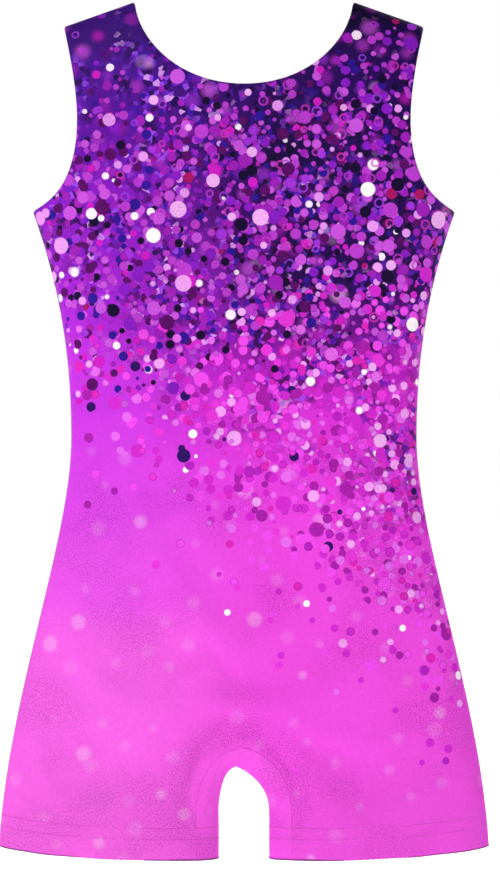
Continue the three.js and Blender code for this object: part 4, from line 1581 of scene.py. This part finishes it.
def neck_rows(room: Workroom) -> Rows:
    """Rows of points round the neck, at depths inside its edge.

    Args:
        room: The workroom.

    Returns:
        A function of the depths and the sink that gives the points and their normals.
    """
    cut = room.cut

    def rows(depths: Sequence[float], sink: float) -> tuple[Array, Array]:
        """The rows at these depths and this sink."""
        shares = np.linspace(0, 1, 130) ** 2
        order = [
            (cut.front_neck, -1.0, 1, shares), (cut.front_neck, -1.0, -1, shares[:-1][::-1]),
            (cut.back_neck, 1.0, -1, shares[1:]), (cut.back_neck, 1.0, 1, shares[1:-1][::-1]),
        ]
        parts = []
        for neck, side, mirror, run in order:
            place = np.stack([cut.neck_place(neck, run, depth) for depth in depths], 1)
            face = np.where(run == 0, 0.0, side)[:, None]
            parts.append((place[..., 0] * mirror, place[..., 1], face))
        return rows_round(cut, parts, sink)

    return rows


def armhole_rows(room: Workroom, hand: Hand) -> Rows:
    """Rows of points round one armhole, at depths inside its edge.

    Args:
        room: The workroom.
        hand: Which armhole.

    Returns:
        A function of the depths and the sink that gives the points and their normals.
    """
    cut = room.cut

    def rows(depths: Sequence[float], sink: float) -> tuple[Array, Array]:
        """The rows at these depths and this sink."""
        shares = np.concatenate([np.linspace(0, 1, 90) ** 2, 2 - np.linspace(1, 0, 110)[1:] ** 2])
        parts = []
        for side, run in ((-1.0, shares), (1.0, shares[1:-1][::-1])):
            place = np.stack([cut.armhole_place(run, depth) for depth in depths], 1)
            face = np.where((run == 0) | (run == 2), 0.0, side)[:, None]
            parts.append((place[..., 0] * hand.value, place[..., 1], face))
        return rows_round(cut, parts, sink)

    return rows


@dataclass
class LegHem:
    """One leg's turned-up hem, its two needle rows and the looper thread behind them."""

    room: Workroom
    hand: Hand
    low: float = 0.0140
    high: float = 0.0215
    stitch: float = 0.0031
    steps: int = 8  # along one stitch and the space after it
    lifts: tuple[float, ...] = (-0.00050, 0.00008, 0.00018, 0.00018, 0.00008, -0.00050)
    dot: float = 0.0022
    dot_turn: tuple[float, float] = (0.15, 1.35)  # how far round the fold a dot reaches
    dot_lift: float = 0.00006
    thread_halves: tuple[float, float, float] = (0.00024, 0.00020, 0.00026)  # of needle, looper and edge thread

    def rows(self, rises: Sequence[float], sink: float) -> tuple[Array, Array]:
        """Rows of points round the leg, at heights above its edge.

        Args:
            rises: The heights.
            sink: How deep the points lie.

        Returns:
            The points and their normals.
        """
        cut = self.room.cut
        shares = (1 - np.cos(np.linspace(0, math.pi, 200))) / 2
        parts = []
        for side, run in ((-1.0, shares), (1.0, shares[1:-1][::-1])):
            level = cut.hem_height(cut.gap_half + (cut.hem_half - cut.gap_half) * run)
            z = level[:, None] + np.array(rises)[None]
            gap, half = cut.gap_side(z), cut.side_half(z)
            x = gap + (half - gap) * run[:, None]
            parts.append((x * self.hand.value, z, np.where((run == 0) | (run == 1), 0.0, side)[:, None]))
        return rows_round(cut, parts, sink)

    def build(self) -> None:
        """Makes the hem and its stitching."""
        room, layers, cut = self.room, self.room.layers, self.room.cut
        rises = np.concatenate([[layers.hem_fold], np.linspace(0.003, cut.hem_depth, 9)])
        points, normals = even_rows(*self.rows(rises, layers.hem), ROW_STEP)
        flat = cut.unroll(points[..., 0], points[..., 2])
        made = strip(f"{self.hand.word}_hem_turned_cloth", points, flat, True, -normals[0, 0])
        thicken(made, layers.cloth, room.finishes.print, room.finishes.wrong)
        room.deliver(made, "garment", "printed_knit", f"{self.hand.word}_leg_hem")
        self.stitches()

    def stitches(self) -> None:
        """Two rows of short stitches outside, crossing looper thread inside, and the edge's own small stitches."""
        room, word = self.room, self.hand.word
        lift, seen = np.array(self.lifts)[:, None], len(self.lifts)
        lines, ups = even_rows(*self.rows([self.low, self.high], 0.0), self.stitch / self.steps)
        starts = range(0, len(lines) - self.steps + 1, self.steps)
        paths = [lines[i : i + seen, row] + ups[i : i + seen, row] * lift for row in (0, 1) for i in starts]
        made = threads(f"{word}_hem_needle_rows", paths, self.thread_halves[0], 1)
        room.sew(made, room.finishes.hem, "hem_thread", f"{word}_hem_stitching")

        inside, _ = self.rows([self.low, self.high], room.layers.hem_stitch)
        rails = respaced(inside, self.stitch / 2, closed=True)
        looper = np.array([rail[i % 2] for i, rail in enumerate(rails)])
        made = threads(f"{word}_hem_looper", [np.vstack([looper, looper[:1]]), *dashes(rails)], self.thread_halves[1])
        room.sew(made, room.finishes.hem, "hem_thread")

        radius = room.layers.hem_fold
        edge, ups = even_rows(*self.rows([radius], 0.0), self.dot)
        angle = np.linspace(*self.dot_turn, 5)[:, None]
        paths = []
        for place, up in zip(edge[:, 0], ups[:, 0]):
            down = unit(np.array([0.0, 0.0, -1.0]) - up * -up[2])
            way = up * np.cos(angle) + down * np.sin(angle)
            paths.append(place - up * radius + way * (radius + self.dot_lift))
        made = threads(f"{word}_hem_edge_picks", paths, self.thread_halves[2])
        room.sew(made, room.finishes.edge, "hem_thread")


@dataclass
class BodySeam:
    """A side or shoulder seam: the two allowances laid together and overlocked."""

    room: Workroom
    word: str
    outer: Array
    inner: Array
    cloth: float = 0.0005
    apart: float = 0.00055  # how far each allowance stands off the seam's middle
    ripple: float = 0.00012
    needle: float = 0.35  # where the needle line runs, as a share of the width
    thread_lift: float = 0.00072

    def build(self) -> None:
        """Makes the allowances and their stitching."""
        line = respaced(np.stack([self.outer, self.inner], 1), ROW_STEP)
        across = np.linspace(0, 1, 4)
        middle = line[:, :1] + (line[:, 1:] - line[:, :1]) * across[None, :, None]
        flat = self.room.cut.unroll(middle[..., 0], middle[..., 2])
        ripple = self.ripple * np.sin(run_length(line[:, 0]) * 900)[:, None] * across[None]
        layers = []
        for side in (-1.0, 1.0):
            points = middle + np.stack([np.zeros_like(ripple), side * self.apart + ripple, np.zeros_like(ripple)], -1)
            name = f"{self.word}_allowance_{'front' if side < 0 else 'back'}"
            made = strip(name, points, flat, False, np.array([0.0, side, 0.0]))
            thicken(made, self.cloth, self.room.finishes.wrong)
            layers.append(made)
        for made in layers:
            self.room.deliver(made, "garment", "printed_knit")
        side = np.tile([0.0, 1.0, 0.0], (len(line), 1))
        needle = line[:, 0] + (line[:, 1] - line[:, 0]) * self.needle
        sewn = overlock(f"{self.word}_overlock", needle, line[:, 1], side, self.thread_lift)
        self.room.sew(sewn, self.room.finishes.seam, "seam_thread", self.word)


def side_seam(room: Workroom, hand: Hand) -> BodySeam:
    """The seam down one side, from under the armhole's edge to over the leg's hem."""
    cut, layers = room.cut, room.layers
    foot, top = cut.hem_rise + cut.hem_depth + layers.side_foot, cut.underarm[1] - cut.neck_turning - layers.side_top
    z = np.linspace(foot, top, 160)
    rails = [
        np.stack([hand.value * (cut.side_half(z) - inset), np.zeros_like(z), z], -1)
        for inset in (layers.seam_near, layers.seam_far)
    ]
    return BodySeam(room, f"{hand.word}_side_seam", *rails)


def shoulder_seam(room: Workroom, hand: Hand) -> BodySeam:
    """The seam along one shoulder, between the edges of the neck and the armhole."""
    cut, layers = room.cut, room.layers
    strap = float(np.linalg.norm(np.subtract(cut.strap_outer, cut.strap_inner)))
    along = np.linspace(cut.neck_turning + layers.strap_end, strap - cut.neck_turning - layers.strap_end, 40)
    down = np.array([cut.along_shoulder[1], -cut.along_shoulder[0]])
    rails = []
    for inset in (layers.seam_near, layers.seam_far):
        place = np.array(cut.strap_inner) + along[:, None] * cut.along_shoulder + down * inset
        rails.append(np.stack([hand.value * place[:, 0], np.zeros(len(along)), place[:, 1]], -1))
    return BodySeam(room, f"{hand.word}_shoulder_seam", *rails)


@dataclass
class Label:
    """A satin label folded double, caught in a seam by its two ends."""

    room: Workroom
    name: str
    node: str
    standing: bool
    tape: float = 0.00016
    bow: float = 0.0004
    pinched: float = 0.30  # how far apart the sewn ends stay, as a share of the fold's gap
    opening: float = 1.2  # how fast the label opens away from its sewn ends

    def build(self, finish: Material) -> None:
        """Makes the label.

        Args:
            finish: Its satin.
        """
        low, high = (np.array(c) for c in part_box(self.node))
        centre, size = (low + high) / 2, high - low
        width, drop = (size[2], size[0]) if self.standing else (size[0], size[2])
        gap = max(size[1] / 2 - self.tape / 2, 0.00008)
        run = np.linspace(0, drop - gap, 16)
        turn = np.linspace(0, math.pi, 9)[1:-1]
        down = np.concatenate([run, drop - gap + gap * np.sin(turn), run[::-1]])
        side = np.concatenate([np.full(len(run), gap), gap * np.cos(turn), np.full(len(run), -gap)])
        side = side * np.clip(self.pinched + down / drop * self.opening, 0.0, 1.0)
        across = np.linspace(-0.5, 0.5, 13) * width
        lean = self.bow * np.sin(np.pi * down / drop)[:, None] * np.cos(across / width * math.pi)[None]
        if self.standing:
            place = (high[0] - down[:, None], centre[1] + side[:, None] + lean, centre[2] + across[None])
        else:
            place = (centre[0] + across[None], centre[1] + side[:, None] - lean, high[2] - down[:, None])
        points = np.stack(np.broadcast_arrays(*place), -1)
        flat = lattice(across, run_length(np.stack([down, side], -1)))
        made = strip(self.name, points, flat, False, np.array([0.0, 1.0, 0.0]))
        wall = made.modifiers.new("tape", "SOLIDIFY")
        wall.thickness, wall.offset = self.tape, 0.0
        smooth = made.modifiers.new("smooth", "SUBSURF")
        smooth.levels = smooth.render_levels = 1
        apply_modifiers(made)
        dress(made, finish)
        self.room.deliver(made, self.node, "label_satin", self.node)


# ---------------------------------------------------------------------------
# The studio and the whole garment
# ---------------------------------------------------------------------------


@dataclass
class Studio:
    """A pale floor, soft light and the camera straight in front."""

    frame_height: float = 0.5888
    lens: float = 100.0
    sensor: float = 36.0
    aim: tuple[float, float] = (0.0041, 0.2870)
    floor_drop: float = 0.10
    floor_radius: float = 9.0
    floor_glow: float = 0.82
    sky_light: float = 0.275
    lights: tuple[tuple[str, tuple[float, float, float], float, float], ...] = (
        ("key", (-1.6, -1.5, 1.7), 0.8, 29.0),
        ("fill", (1.5, -1.9, 0.5), 1.8, 3.0),
        ("back_key", (1.6, 1.5, 1.7), 0.8, 29.0),
        ("back_fill", (-1.4, 1.8, 0.4), 1.8, 3.0),
    )

    def camera(self) -> None:
        """Sets the camera."""
        data = bpy.data.cameras.new("camera")
        data.lens, data.sensor_width = self.lens, self.sensor
        far = self.frame_height * self.lens / self.sensor
        made = add_object("camera", data)
        made.location = (self.aim[0], -far, self.aim[1])
        made.rotation_euler = (math.pi / 2, 0.0, 0.0)
        bpy.context.scene.camera = made

    def floor(self) -> None:
        """Lays the floor."""
        bpy.ops.object.select_all(action="DESELECT")
        under = (0.0, 0.0, -self.floor_drop)
        bpy.ops.mesh.primitive_circle_add(vertices=96, radius=self.floor_radius, fill_type="NGON", location=under)
        made = bpy.context.object
        made.name = "studio_floor"
        dye = Dye("studio_floor")
        colour = dye.mix(dye.uneven(dye.space(), 3.0, 0.0, 1.0), tint("fbfbfb"), tint("f7f7f8"))
        glow = {"Emission_Color": WHITE, "Emission_Strength": self.floor_glow}
        dress(made, dye.surface(colour, 0.9, Specular_IOR_Level=0.1, **glow))

    def light(self, name: str, place: Sequence[float], size: float, power: float) -> None:
        """Hangs a soft light that looks at the garment.

        Args:
            name: Its name.
            place: Where it hangs.
            size: Its width.
            power: Its power in watts.
        """
        data = bpy.data.lights.new(name, "AREA")
        data.shape, data.size, data.energy = "DISK", size, power
        made = add_object(name, data)
        made.location = place
        made.rotation_euler = (Vector((0.0, 0.0, 0.3)) - Vector(place)).to_track_quat("-Z", "Y").to_euler()

    def build(self) -> None:
        """Sets up the whole studio."""
        self.camera()
        self.floor()
        for light in self.lights:
            self.light(*light)
        world = bpy.data.worlds.new("studio")
        bpy.context.scene.world = world
        world.use_nodes = True
        nodes, links = world.node_tree.nodes, world.node_tree.links
        sky, seen = nodes["Background"], nodes.new("ShaderNodeBackground")
        for backdrop, strength in ((sky, self.sky_light), (seen, 1.0)):
            backdrop.inputs["Color"].default_value = WHITE
            backdrop.inputs["Strength"].default_value = strength
        path, mixed = nodes.new("ShaderNodeLightPath"), nodes.new("ShaderNodeMixShader")
        sources = (path.outputs["Is Camera Ray"], sky.outputs[0], seen.outputs[0])
        for source, target in zip(sources, mixed.inputs):
            links.new(source, target)
        links.new(mixed.outputs[0], nodes["World Output"].inputs[0])
        bpy.context.scene.view_settings.view_transform = "Standard"


def main() -> None:
    """Builds the garment and its studio."""
    logging.basicConfig(level=logging.INFO, format="%(name)s: %(message)s")
    Studio().build()
    cut = Cut()
    cut.relief = Lie(cut).rise
    room = Workroom(cut, Layers(), Wardrobe())
    front = Panel(room, Face.FRONT, cut.front_neck, "body_front", "front_panel")
    back = Panel(room, Face.BACK, cut.back_neck, "body_back", "back_panel")
    for panel in (front, back):
        panel.build(Settling.of(panel))
    Gusset(room).build()
    BoundEdge(room, neck_rows(room), "neck").build()
    for hand in Hand:
        BoundEdge(room, armhole_rows(room, hand), f"{hand.word}_armhole").build()
        LegHem(room, hand).build()
        side_seam(room, hand).build()
        shoulder_seam(room, hand).build()
    Label(room, "size_label_tape", "size_label", False).build(room.finishes.size_tape)
    Label(room, "care_label_tape", "care_label", True).build(room.finishes.care_tape)


if __name__ == "__main__":
    main()
